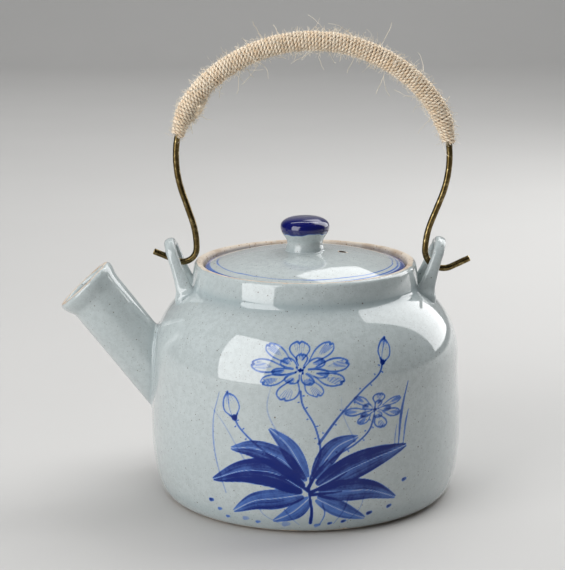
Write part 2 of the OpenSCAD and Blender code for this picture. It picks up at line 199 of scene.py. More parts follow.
class Skin:
    """Builds, cuts and marks closed meshes, with sizes in millimetres."""

    MOST = 1.2
    """The largest value that a mark may have."""

    @staticmethod
    def build(name: str, rings: Array, finish: Finish,
              poles: tuple[bool, bool] = (False, False), loop: bool = False) -> Piece:
        """Joins rings of points into a smooth mesh, closed at both ends.

        Args:
            name: Name of the object.
            rings: Array of rings, points per ring and 3, each ring running round the way
                from the first ring to the last.
            finish: Material of the mesh.
            poles: Whether the first and the last ring are a single point.
            loop: Whether the last ring joins the first.

        Returns:
            The object, linked to the scene.
        """
        count, around = rings.shape[:2]
        starts, points = [], []
        for i in range(count):
            single = (i == 0 and poles[0]) or (i == count - 1 and poles[1])
            starts.append((len(points), single))
            points.extend(rings[i, k] * MM for k in ([0] if single else range(around)))
        faces: list[tuple[int, ...]] = []
        for i in range(count if loop else count - 1):
            (a, a_single), (b, b_single) = starts[i], starts[(i + 1) % count]
            for k in range(around):
                n = (k + 1) % around
                if a_single:
                    faces.append((a, b + n, b + k))
                elif b_single:
                    faces.append((a + k, a + n, b))
                else:
                    faces.append((a + k, a + n, b + n, b + k))
        if not loop:
            (first, first_single), (last, last_single) = starts[0], starts[-1]
            if not first_single:
                faces.append(tuple(range(first + around - 1, first - 1, -1)))
            if not last_single:
                faces.append(tuple(range(last, last + around)))
        return Skin.smooth(name, points, faces, finish)

    @staticmethod
    def smooth(name: str, points: Sequence[Point3], faces: Sequence[tuple[int, ...]],
               finish: Finish) -> Piece:
        """Makes a smooth-shaded object from points in metres.

        Args:
            name: Name of the object.
            points: Its points.
            faces: Numbers of the points of each face.
            finish: Material of the mesh.

        Returns:
            The object, linked to the scene.
        """
        mesh = bpy.data.meshes.new(name)
        mesh.from_pydata(points, [], faces)
        mesh.polygons.foreach_set("use_smooth", [True] * len(mesh.polygons))
        mesh.materials.append(finish)
        mesh.update()
        return add_object(name, mesh)

    @staticmethod
    def points(piece: Piece) -> Array:
        """A piece's points in millimetres.

        Args:
            piece: The piece.

        Returns:
            The points, one in each row.
        """
        flat = np.empty(len(piece.data.vertices) * 3, dtype=np.float32)
        piece.data.vertices.foreach_get("co", flat)
        return flat.reshape(-1, 3).astype(float) / MM

    @staticmethod
    def mark(piece: Piece, mark: Mark, values: Array) -> None:
        """Stores one value for each point of a piece."""
        layer = piece.data.attributes.new(mark.value, "FLOAT", "POINT")
        layer.data.foreach_set("value", np.clip(values, 0.0, Skin.MOST).astype(np.float32))

    @staticmethod
    def join(pieces: Sequence[Piece]) -> Piece:
        """Joins the meshes of several pieces that don't touch.

        Args:
            pieces: The pieces, which are used up.

        Returns:
            The joined piece.
        """
        shape = bmesh.new()
        for piece in pieces:
            shape.from_mesh(piece.data)
            bpy.data.objects.remove(piece)
        mesh = bpy.data.meshes.new("joined")
        shape.to_mesh(mesh)
        shape.free()
        return add_object("joined", mesh)

    @staticmethod
    def revolve(profile: Array, angles: Array) -> Array:
        """Turns radii and heights about +Z into rings, their angles growing from front to right."""
        r, z = profile[:, 0:1], profile[:, 1:2]
        return np.stack([r * np.sin(angles), -r * np.cos(angles), z + 0 * angles], axis=2)

    @staticmethod
    def cut(piece: Piece, cutter: Piece) -> None:
        """Cuts a hole into a piece and removes the cutter.

        Args:
            piece: The piece to cut.
            cutter: The object to take away from it.
        """
        modifier = piece.modifiers.new("hole", "BOOLEAN")
        modifier.operation = "DIFFERENCE"
        modifier.solver = "EXACT"
        modifier.object = cutter
        depsgraph = bpy.context.evaluated_depsgraph_get()
        mesh = bpy.data.meshes.new_from_object(piece.evaluated_get(depsgraph))
        piece.modifiers.remove(modifier)
        old, piece.data = piece.data, mesh
        bpy.data.meshes.remove(old)
        bpy.data.objects.remove(cutter)

    @staticmethod
    def drill(centre: Vector, direction: Vector, radius: float, length: float = 20.0,
              sides: int = 20) -> Piece:
        """A round cutter.

        Args:
            centre: Middle of the drill.
            direction: Direction of its axis.
            radius: Its radius.
            length: Its length.
            sides: Number of its sides.

        Returns:
            The cutter.
        """
        mesh = bpy.data.meshes.new("drill")
        shape = bmesh.new()
        turn = direction.to_track_quat("Z", "Y").to_matrix().to_4x4()
        bmesh.ops.create_cone(shape, cap_ends=True, segments=sides, radius1=radius * MM,
                              radius2=radius * MM, depth=length * MM,
                              matrix=Matrix.Translation(centre * MM) @ turn)
        shape.to_mesh(mesh)
        shape.free()
        return add_object("drill", mesh)


# ------------ finishes


class Tree:
    """Adds nodes to a node tree and feeds their inputs."""

    def __init__(self, tree: bpy.types.NodeTree) -> None:
        """Takes the tree that the nodes go into."""
        self.tree = tree

    def plug(self, value: object, socket: Socket) -> None:
        """Links an output to an input, or sets the input's value.

        Args:
            value: An output socket or a plain value.
            socket: The input.
        """
        if isinstance(value, Socket):
            self.tree.links.new(value, socket)
        else:
            socket.default_value = value

    def node(self, kind: str, inputs: dict[str | int, object] | None = None,
             **settings: object) -> bpy.types.Node:
        """Adds a node.

        Args:
            kind: The node's type.
            inputs: Values or output sockets for its inputs, by name or number.
            settings: The node's properties.

        Returns:
            The node.
        """
        node = self.tree.nodes.new(kind)
        for key, value in settings.items():
            setattr(node, key, value)
        for key, value in (inputs or {}).items():
            self.plug(value, node.inputs[key])
        return node

    def math(self, operation: str, a: object, b: object = 0.0, clamp: bool = False) -> Socket:
        """One step of arithmetic on values or sockets, if clamped kept between 0 and 1."""
        return self.node("ShaderNodeMath", {0: a, 1: b}, operation=operation,
                         use_clamp=clamp).outputs[0]

    def times(self, a: object, b: object) -> Socket:
        """One value times another."""
        return self.math("MULTIPLY", a, b)

    def waves(self, value: Socket, scale: float) -> Socket:
        """A noise value along one coordinate, with its scale in waves per unit."""
        return self.node("ShaderNodeTexNoise", {"W": value, "Scale": scale, "Detail": 2.0},
                         noise_dimensions="1D").outputs[0]

    def ramp(self, value: object, low: float, high: float, to_low: object = 0.0,
             to_high: object = 1.0, kind: str = "SMOOTHSTEP") -> Socket:
        """Maps a range of values onto another.

        Args:
            value: The value.
            low: Where the first range starts.
            high: Where it ends.
            to_low: What its start becomes.
            to_high: What its end becomes.
            kind: How the value moves between them.

        Returns:
            The result's socket.
        """
        spans = {"From Min": low, "From Max": high, "To Min": to_low, "To Max": to_high}
        ramp = self.node("ShaderNodeMapRange", {"Value": value, **spans}, interpolation_type=kind)
        return ramp.outputs["Result"]


class Shader(Tree):
    """A material with one Principled shader."""

    def __init__(self, name: str) -> None:
        """Starts a material.

        Args:
            name: Name of the material.
        """
        self.material = bpy.data.materials.new(name)
        self.material.use_nodes = True
        super().__init__(self.material.node_tree)
        self.tree.nodes.clear()
        self.surface = self.node("ShaderNodeBsdfPrincipled")
        self.node("ShaderNodeOutputMaterial", {"Surface": self.surface.outputs["BSDF"]})
        self.place = self.node("ShaderNodeTexCoord").outputs["Object"]

    def feed(self, **inputs: object) -> None:
        """Feeds the shader's inputs, named as they are but with underscores for spaces."""
        for key, value in inputs.items():
            self.plug(value, self.surface.inputs[key.replace("_", " ")])

    def noise(self, scale: float, detail: float = 2.0, rough: float = 0.5) -> Socket:
        """A noise value over the object's own coordinates.

        Args:
            scale: Waves per metre.
            detail: Finer layers of noise.
            rough: Strength of each finer layer.

        Returns:
            The value's socket.
        """
        noise = self.node("ShaderNodeTexNoise", {"Vector": self.place, "Scale": scale,
                                                 "Detail": detail, "Roughness": rough})
        return noise.outputs["Fac"]

    def mix(self, share: object, a: Colour | Socket, b: Colour | Socket) -> Socket:
        """Mixes two colours, of which b shows by the share."""
        a, b = ((*c, 1.0) if isinstance(c, tuple) else c for c in (a, b))
        return self.node("ShaderNodeMix", {0: share, 6: a, 7: b}, data_type="RGBA").outputs[2]

    def tinge(self, value: Socket, low: float, high: float, colour: Colour, dim: float) -> Socket:
        """A colour that is whole up to a low value and dimmed from a high one on."""
        return self.mix(self.ramp(value, low, high), colour, tuple(dim * c for c in colour))

    def mark(self, mark: Mark) -> Socket:
        """The value that a mesh carries for a mark."""
        return self.node("ShaderNodeAttribute", attribute_name=mark.value).outputs["Fac"]

    def bump(self, *layers: tuple[Socket, float, float]) -> None:
        """Stacks bump layers on the shader.

        Args:
            layers: Height socket, strength and distance in metres of each layer.
        """
        normal = None
        for height, strength, distance in layers:
            below = {} if normal is None else {"Normal": normal}
            normal = self.node("ShaderNodeBump", {"Height": height, "Strength": strength,
                                                  "Distance": distance, **below}).outputs["Normal"]
        self.feed(Normal=normal)


@dataclass(frozen=True)
class Specks:
    """Scattered dots of uneven size."""

    scale: float
    """Cells per metre."""
    empty: float
    """Share of the cells without a dot."""
    size: float
    """Radius of the largest dots, in cells."""
    strength: float

    def mask(self, n: Shader) -> Socket:
        """Adds the dots to a material.

        Args:
            n: The material.

        Returns:
            A mask that has the dots' strength inside them.
        """
        cells = n.node("ShaderNodeTexVoronoi", {"Vector": n.place, "Scale": self.scale},
                       feature="F1")
        chance = n.node("ShaderNodeSeparateColor", {0: cells.outputs["Color"]}).outputs[0]
        reach = n.ramp(chance, self.empty, 1.0, 0.0, self.size)
        inside = n.ramp(n.math("SUBTRACT", reach, cells.outputs["Distance"]), 0.0, 0.07)
        return n.times(inside, self.strength)


@dataclass(frozen=True)
class CeladonGlaze:
    """A glossy pale celadon with dark specks, cobalt painting and bare clay edges, and painted
    shade in the vent.
    """

    name: str = "celadon_glaze"
    glaze: Colour = (0.48, 0.532, 0.535)
    glaze_deep: Colour = (0.315, 0.38, 0.395)
    clay: Colour = (0.57, 0.50, 0.42)
    clay_burnt: Colour = (0.32, 0.21, 0.13)
    # Colour of the dark specks, also used to paint the vent's wall dark as painted shade.
    iron_and_vent_shade: Colour = (0.13, 0.105, 0.085)
    cobalt_pale: Colour = (0.068, 0.17, 0.50)
    cobalt: Colour = (0.002, 0.014, 0.15)
    ink_dulls: float = 0.75
    orange_peel: float = 0.0
    glaze_rough: float = 0.07
    clay_rough: float = 0.62
    cloud: float = 26.0
    """Waves of its clouds per metre."""
    mottle: Point2 = (420.0, 1500.0)
    """Waves of its coarse and fine mottle per metre."""
    iron_specks: tuple[Specks, ...] = (
        Specks(300.0, 0.87, 0.16, 0.9), Specks(620.0, 0.68, 0.22, 0.7),
        Specks(1150.0, 0.50, 0.28, 0.5))
    clay_grit: Specks = Specks(800.0, 0.4, 0.42, 0.85)

    def material(self) -> Finish:
        """Builds the glaze.

        Returns:
            The material.
        """
        n = Shader(self.name)
        ink = self.ink(n)
        fray = n.times(n.math("SUBTRACT", n.noise(330.0, 3.0, 0.6), 0.5), 0.55)
        bare = n.ramp(n.math("ADD", n.mark(Mark.BARE), fray), 0.42, 0.58)
        uncoated = n.math("MAXIMUM", bare, n.times(ink, self.ink_dulls), clamp=True)
        n.feed(Base_Color=n.mix(bare, self.glazed(n, ink), self.unglazed(n)),
              Roughness=n.ramp(bare, 0.0, 1.0, self.glaze_rough, self.clay_rough),
              Coat_Weight=n.ramp(uncoated, 0.0, 1.0, 1.0, 0.0),
              IOR=1.5, Specular_IOR_Level=0.12, Coat_Roughness=0.04, Coat_IOR=1.6)
        coarse, fine = self.mottle
        n.bump((n.noise(30.0, 2.0, 0.45), 0.22, 0.0022),
               (n.noise(coarse, 2.0, 0.5), 0.05, 0.0004),
               (n.noise(fine, 2.0, 0.6), self.orange_peel, 0.0003),
               (n.times(bare, n.noise(1900.0, 3.0, 0.7)), 0.35, 0.0004))
        return n.material

    def glazed(self, n: Shader, ink: Socket) -> Socket:
        """The glaze with its clouds, mottle, pools, specks and painting.

        Args:
            n: The material.
            ink: The painting's density.

        Returns:
            The colour's socket.
        """
        coarse, fine = self.mottle
        tone = n.tinge(n.noise(self.cloud, 3.0, 0.55), 0.35, 0.7, self.glaze, 0.95)
        mottle = n.math("ADD", n.noise(coarse, 3.0, 0.6), n.noise(fine, 3.0, 0.7))
        tone = n.mix(n.ramp(mottle, 0.80, 1.15), tuple(0.87 * c for c in self.glaze), tone)
        tone = n.mix(n.mark(Mark.POOL), tone, self.glaze_deep)
        for specks in self.iron_specks:
            tone = n.mix(specks.mask(n), tone, self.iron_and_vent_shade)
        tone = n.mix(n.ramp(ink, 0.02, 0.46), tone, self.cobalt_pale)
        return n.mix(n.ramp(ink, 0.32, 0.86), tone, self.cobalt)

    def unglazed(self, n: Shader) -> Socket:
        """The bare clay with its burnt patches and grit, and the vent's wall painted dark as
        painted shade.

        Args:
            n: The material.

        Returns:
            The colour's socket.
        """
        burnt = n.times(n.ramp(n.noise(110.0, 3.0, 0.65), 0.42, 0.68), 0.5)
        tone = n.mix(burnt, self.clay, self.clay_burnt)
        tone = n.mix(self.clay_grit.mask(n), tone, self.clay_burnt)
        # Marks above 1 paint the vent's wall dark: painted shade in the hole.
        return n.mix(n.ramp(n.mark(Mark.BARE), 1.08, 1.16), tone, self.iron_and_vent_shade)

    @staticmethod
    def ink(n: Shader) -> Socket:
        """The painting's density, with the uneven flow of a wet brush.

        Args:
            n: The material.

        Returns:
            The density's socket.
        """
        flow = n.ramp(n.noise(150.0, 3.0, 0.55), 0.25, 0.75, 0.86, 1.08)
        grain = n.ramp(n.noise(1100.0, 2.0, 0.5), 0.3, 0.7, 0.95, 1.04)
        return n.times(n.times(n.mark(Mark.INK), flow), grain)


@dataclass(frozen=True)
class AntiqueBrass:
    """Darkened brass wire, worn bright in spots and at its cut ends."""

    dark: Colour = (0.11, 0.076, 0.027)
    worn: Colour = (0.70, 0.56, 0.28)
    rough: Point2 = (0.15, 0.28)
    wear: float = 520.0
    """Waves of its worn spots per metre."""

    def material(self) -> Finish:
        """Builds the metal.

        Returns:
            The material.
        """
        n = Shader("antique_brass")
        wear = n.times(n.ramp(n.noise(self.wear, 4.0, 0.65), 0.45, 0.8), 0.5)
        wear = n.math("MAXIMUM", wear, n.mark(Mark.BARE))
        n.feed(Base_Color=n.mix(wear, self.dark, self.worn), Metallic=1.0,
              Roughness=n.ramp(n.noise(900.0, 3.0, 0.6), 0.3, 0.7, *self.rough))
        n.bump((n.noise(1400.0, 3.0, 0.6), 0.12, 0.0002), (n.noise(180.0, 2.0, 0.5), 0.1, 0.0006))
        return n.material


@dataclass(frozen=True)
class JuteTwine:
    """Twisted plant fibre, pale on its crowns, with golden patches and golden-brown painted shade
    in the grooves of its twist.
    """

    pale: Colour = (1.0, 0.89, 0.72)
    tan: Colour = (0.82, 0.54, 0.27)
    # Painted shade for the grooves between the two plies.
    shade: Colour = (0.38, 0.18, 0.055)
    fibres: float = 2400.0
    """Waves of its fibres per metre."""
    patches: float = 95.0
    """Waves of its golden patches per metre of twine."""

    def material(self) -> Finish:
        """Builds the twine.

        Returns:
            The material.
        """
        n = Shader("jute_twine")
        fibre = n.noise(self.fibres, 3.0, 0.65)
        patch = n.waves(n.mark(Mark.ALONG), self.patches)
        # Painted shade: the colour darkens in the grooves between the two plies.
        painted_groove_shade = n.times(n.ramp(n.mark(Mark.PLY), 0.0, 0.55, 1.0, 0.0), 0.88)
        tone = n.mix(n.ramp(patch, 0.35, 0.75, 0.0, 0.4), self.pale, self.tan)
        tone = n.mix(n.ramp(fibre, 0.42, 0.75, 0.0, 0.5), tone, self.tan)
        n.feed(Base_Color=n.mix(painted_groove_shade, tone, self.shade), Roughness=0.86,
              Sheen_Weight=0.7, Sheen_Roughness=0.35)
        n.bump((fibre, 0.6, 0.0002))
        return n.material


@dataclass(frozen=True)
class MattFinish:
    """One colour, clouded by noise, on a matt surface."""

    name: str
    colour: Colour
    dim: float
    """What is left of the colour where it is darkest."""
    scale: float
    """Waves of the clouding per metre."""
    rough: float
    detail: float = 2.0
    evenness: float = 0.5
    grain: float = 0.0

    def material(self) -> Finish:
        """Builds the finish.

        Returns:
            The material.
        """
        n = Shader(self.name)
        cloud = n.noise(self.scale, self.detail, self.evenness)
        n.feed(Base_Color=n.tinge(cloud, 0.3, 0.7, self.colour, self.dim), Roughness=self.rough)
        if self.grain:
            n.bump((cloud, self.grain, 0.0003))
        return n.material


STRAY_FIBRE = MattFinish("stray_fibre", (0.90, 0.82, 0.68), 0.78, 90.0, 0.6)
# A very dark core under the twine; its colour is painted shade for the gaps between the turns.
GAP_SHADE_CORE = MattFinish("painted_gap_shade_core", (0.24, 0.15, 0.08), 0.55, 900.0, 0.92, 3.0, 0.6, 0.5)
PALE_FLOOR = MattFinish("pale_floor", (0.50, 0.495, 0.485), 0.985, 6.0, 0.75)


# ------------ pot


@dataclass
class PotShape:
    """Sizes of the thrown pot, in millimetres."""

    belly_r: float = 69.2
    belly_z: float = 30.0
    upper_wall_r: float = 68.0
    shoulder_z: float = 61.5
    shoulder_round: float = 35.0
    wall: float = 5.0
    foot_r: float = 61.0
    foot_w: float = 5.0
    foot_recess: float = 1.4
    floor_z: float = 7.4
    floor_r: float = 30.0
    foot_bevel: float = 0.8
    rim_z: float = 103.3
    rim_round: float = 1.7
    neck_r: float = 49.0
    neck_t: float = 4.1
    crease_r: float = 3.0
    seat_z: float = 98.2
    seat_w: float = 5.4
    seat_t: float = 3.4
    corner_power: float = 2.2

    @property
    def neck_in_r(self) -> float:
        """Radius inside the collar."""
        return self.neck_r - self.neck_t

    @property
    def foot_in_r(self) -> float:
        """Radius inside the foot ring."""
        return self.foot_r - self.foot_w

    @property
    def shoulder_x(self) -> float:
        """Radius at which the shoulder's curve is centred."""
        return self.upper_wall_r - self.shoulder_round

    @property
    def crease(self) -> Point3:
        """The crease under the collar.

        Returns:
            Its centre's radius and height, and the angle at which the shoulder meets it.
        """
        x = self.neck_r + self.crease_r
        away = x - self.shoulder_x
        z = self.shoulder_z + math.sqrt((self.shoulder_round + self.crease_r) ** 2 - away**2)
        return x, z, math.degrees(math.atan2(z - self.shoulder_z, away))

    def corner(self, r0: float, z0: float, r1: float, z1: float, count: int) -> list[Point2]:
        """A quarter of a squared ellipse from its foot up to the wall.

        Args:
            r0: Radius of its foot.
            z0: Height of its foot.
            r1: Radius of the wall.
            z1: Height at which it meets the wall.
            count: Number of steps.

        Returns:
            The points, both ends included.
        """
        power = 2 / self.corner_power
        return [(r0 + (r1 - r0) * math.sin(a) ** power, z1 - (z1 - z0) * math.cos(a) ** power)
                for a in np.radians(np.linspace(0, 90, count + 1))]

    @staticmethod
    def ease(r0: float, z0: float, r1: float, z1: float, count: int) -> list[Point2]:
        """The points after the first of a slope that starts and ends upright."""
        return [(r0 + (r1 - r0) * swell(i / count), z0 + (z1 - z0) * i / count)
                for i in range(1, count + 1)]

    def foot_line(self) -> list[Point2]:
        """The underside and the foot ring.

        Returns:
            The points from the axis out to the foot's bevel.
        """
        inner = self.foot_in_r
        return [(0.0, self.foot_recess), (self.floor_r, self.foot_recess),
                (inner - 1.2, self.foot_recess), (inner - 0.5, 0.7), (inner, 0.15),
                (inner + 0.4, 0.0), (self.foot_r - 0.4, 0.0), (self.foot_r, 0.1)]

    def wall_line(self) -> list[Point2]:
        """The outside of the wall and the shoulder.

        Returns:
            The points from the foot's bevel up to the collar.
        """
        x, z, turn = self.crease
        bevel = self.foot_bevel
        return (self.corner(self.foot_r + bevel, bevel, self.belly_r, self.belly_z, 60)
                + self.ease(self.belly_r, self.belly_z, self.upper_wall_r, self.shoulder_z, 40)
                + arc(self.shoulder_x, self.shoulder_z, self.shoulder_round, 2, turn, 60)
                + arc(x, z, self.crease_r, 180 + turn, 180, 10)[1:])

    def rim_line(self) -> list[Point2]:
        """The rounded top of the collar.

        Returns:
            The points from outside to inside.
        """
        half = self.neck_t / 2
        return [(self.neck_r - half + half * math.cos(a),
                 self.rim_z - self.rim_round + self.rim_round * math.sin(a))
                for a in np.linspace(0, math.pi, 15)]

    def inner_line(self) -> list[Point2]:
        """The inside of the collar, the lid's ledge, the wall and the floor.

        Returns:
            The points from the collar down to the axis.
        """
        lip, under = self.neck_in_r - self.seat_w, self.seat_z - self.seat_t
        base = self.foot_in_r - self.wall
        belly, upper = self.belly_r - self.wall, self.upper_wall_r - self.wall
        up = (self.corner(base, self.floor_z, belly, self.belly_z, 10)
              + self.ease(belly, self.belly_z, upper, self.shoulder_z, 6)
              + arc(self.shoulder_x, self.shoulder_z, self.shoulder_round - self.wall, 6, 55, 12)
              + [(self.neck_in_r - 0.6, under - 3.8), (lip + 0.5, under - 0.3),
                 (lip, under + 0.3), (lip, self.seat_z - 0.6), (lip + 0.2, self.seat_z - 0.15),
                 (lip + 0.7, self.seat_z), (self.neck_in_r - 0.5, self.seat_z),
                 (self.neck_in_r, self.seat_z + 0.5)])
        return up[::-1] + [(self.floor_r, self.floor_z), (0.0, self.floor_z)]

    def outer_r(self, z: Array) -> Array:
        """Radius of the outside at heights."""
        line = np.array(self.wall_line())
        return np.interp(z, line[:, 1], line[:, 0])

    def shoulder_top(self, at: Sequence[Array]) -> Array:
        """Height of the shoulder under points.

        Args:
            at: The points' places along X, Y and Z.

        Returns:
            The heights.
        """
        line = np.array(self.wall_line())
        top = line[line[:, 1] > 50]
        return np.interp(-np.hypot(at[0], at[1]), -top[:, 0], top[:, 1])

    def normal(self, at: Array) -> Array:
        """Directions square to the outside.

        Args:
            at: Points on it, one in each row.

        Returns:
            The directions, one in each row.
        """
        radius, z = np.hypot(at[:, 0], at[:, 1]), at[:, 2]
        slope = self.outer_r(z + 0.5) - self.outer_r(z - 0.5)
        return unit(np.stack([at[:, 0] / radius, at[:, 1] / radius, -slope], axis=1))

    def settle(self, at: Array, depth: float) -> Array:
        """Moves points onto the outside, a little below its skin.

        Args:
            at: The points, one in each row.
            depth: How far below.

        Returns:
            The moved points.
        """
        out = at.copy()
        share = (self.outer_r(at[:, 2]) - depth) / np.hypot(at[:, 0], at[:, 1])
        out[:, :2] *= share[:, None]
        return out

    def onto(self, start: Array, step: Array, reach: float = 60.0) -> Array:
        """Where lines first meet the outside.

        Args:
            start: Points outside the pot, one in each row.
            step: One direction that leads into the pot.
            reach: Length searched along each line.

        Returns:
            The points on the outside.
        """
        low, high = np.zeros(len(start)), np.full(len(start), reach)
        for _ in range(40):
            mid = (low + high) / 2
            at = start + mid[:, None] * step
            inside = np.hypot(at[:, 0], at[:, 1]) < self.outer_r(at[:, 2])
            low, high = np.where(inside, low, mid), np.where(inside, mid, high)
        return start + high[:, None] * step


@dataclass
class PotBody:
    """The thrown pot: wall, shoulder, collar, lid ledge and foot."""

    shape: PotShape
    painting: FlowerSpray
    window: tuple[float, float, float, float] = (-46.0, 47.0, 4.0, 86.0)
    """The painted part of the wall: left, right, low and high."""
    fine: float = 0.42
    """Width of the faces there."""
    coarse: int = 3
    """Height of the other faces, in fine ones."""
    plain_meridians: int = 104
    strainer_r: float = 1.7
    strainer_pitch: float = 5.6
    spout_z: float = 57.4
    spout_bore_r: float = 9.8
    spout_slope: float = 52.4

    def build(self, glaze: Finish) -> Piece:
        """Builds the pot.

        Args:
            glaze: Its finish.

        Returns:
            The pot.
        """
        s = self.shape
        line = (s.foot_line() + self.wall_points() + [(s.neck_r, s.crease[1] + 2.5)]
                + s.rim_line() + s.inner_line())
        left, right = self.window[0] / s.belly_r, self.window[1] / s.belly_r
        front = np.arange(*self.window[:2], self.fine) / s.belly_r
        rest = np.linspace(right, left + FULL_TURN, self.plain_meridians, endpoint=False)
        rings = Skin.revolve(np.array(line), np.concatenate([front, rest]))
        piece = Skin.build("pot_wall", self.throw(rings), glaze, poles=(True, True))
        Skin.cut(piece, self.strainer())
        self.dress(piece)
        return piece

    def wall_points(self) -> list[Point2]:
        """Points of the wall, close together where it is painted.

        Returns:
            The points from the foot's bevel up to the collar.
        """
        wall = resample(self.shape.wall_line(), self.fine)
        _, _, low, high = self.window
        keep = [0]
        for i, (_, z) in enumerate(wall):
            gap = 1 if low < z < high else self.coarse
            if i - keep[-1] >= gap or i == len(wall) - 1:
                keep.append(i)
        return [tuple(wall[i]) for i in keep]

    @staticmethod
    def throw(rings: Array) -> Array:
        """Gives the wall the slight unevenness of a hand-thrown pot.

        Args:
            rings: The pot's rings of points.

        Returns:
            The moved points.
        """
        x, y, z = rings[..., 0], rings[..., 1], rings[..., 2]
        turn, radius = np.arctan2(x, -y), np.hypot(x, y)
        wall = smoothstep(4, 20, z) * (1 - smoothstep(86, 94, z)) * smoothstep(50, 60, radius)
        sway = (-0.12 + 0.12 * np.sin(2 * turn + z / 21.0) * np.cos(z / 9.0)
                + 0.05 * np.sin(5 * turn - z / 13.0))
        outside = smoothstep(48.0, 48.9, radius)
        collar = outside * smoothstep(90, 94, z) * (1 - smoothstep(94.6, 102.6, z))
        factor = 1 + (wall * sway + 0.9 * collar) / np.maximum(radius, 1.0)
        return rings * np.stack([factor, factor, np.ones_like(factor)], axis=-1)

    def strainer(self) -> Piece:
        """The drills for the rows of holes behind the spout.

        Returns:
            The drills as one cutter.
        """
        row = self.strainer_pitch * math.sin(math.radians(60))
        keep_y = self.spout_bore_r - self.strainer_r
        keep_z = keep_y / math.cos(math.radians(self.spout_slope))
        drills = []
        for j in range(-6, 7):
            for i in range(-3, 4):
                y, z = (i + (0 if j % 2 == 0 else 0.5)) * self.strainer_pitch, j * row
                if (y / keep_y) ** 2 + (z / keep_z) ** 2 <= 1:
                    place = Vector((-self.shape.belly_r + 4, y, self.spout_z + z))
                    drills.append(Skin.drill(place, Vector((1, 0, 0)), self.strainer_r))
        return Skin.join(drills)

    def dress(self, piece: Piece) -> None:
        """Marks the bare clay, the pooled glaze and the painting.

        Args:
            piece: The pot.
        """
        s = self.shape
        x, y, z = Skin.points(piece).T
        radius, turn = np.hypot(x, y), np.arctan2(x, -y)
        uneven = 0.25 * ripple(turn * 60, z, 5.0) + 0.15 * ripple(turn * 60, z, 1.7, 2.0)
        front = 0.22 * (1 + np.cos(turn)) * (radius > s.neck_r - 1.2)
        rim = smoothstep(s.rim_z - 0.6, s.rim_z - 0.15, z + 0.9 * uneven - front)
        foot = 1 - smoothstep(0.9, 2.0, z + 2.0 * uneven)
        ledge = smoothstep(s.seat_z - 2.0, s.seat_z - 0.8, z) * (radius < s.neck_in_r + 0.9)
        Skin.mark(piece, Mark.BARE,
                  np.maximum.reduce([rim * (radius > s.neck_in_r - 0.3), foot, ledge]))
        crease = bell(z, s.crease[1] - 0.8, 2.6) * (radius > s.neck_r - 1)
        low = bell(z, 6.0, 3.5) * (radius > s.foot_r - 6)
        Skin.mark(piece, Mark.POOL, 0.75 * crease + 0.45 * low)
        painted = (radius > s.outer_r(z) - 1.5) & (np.abs(turn) < 1.2) & (z < 90)
        ink = self.painting.density(turn * s.belly_r, z)
        Skin.mark(piece, Mark.INK, np.where(painted, ink, 0.0))


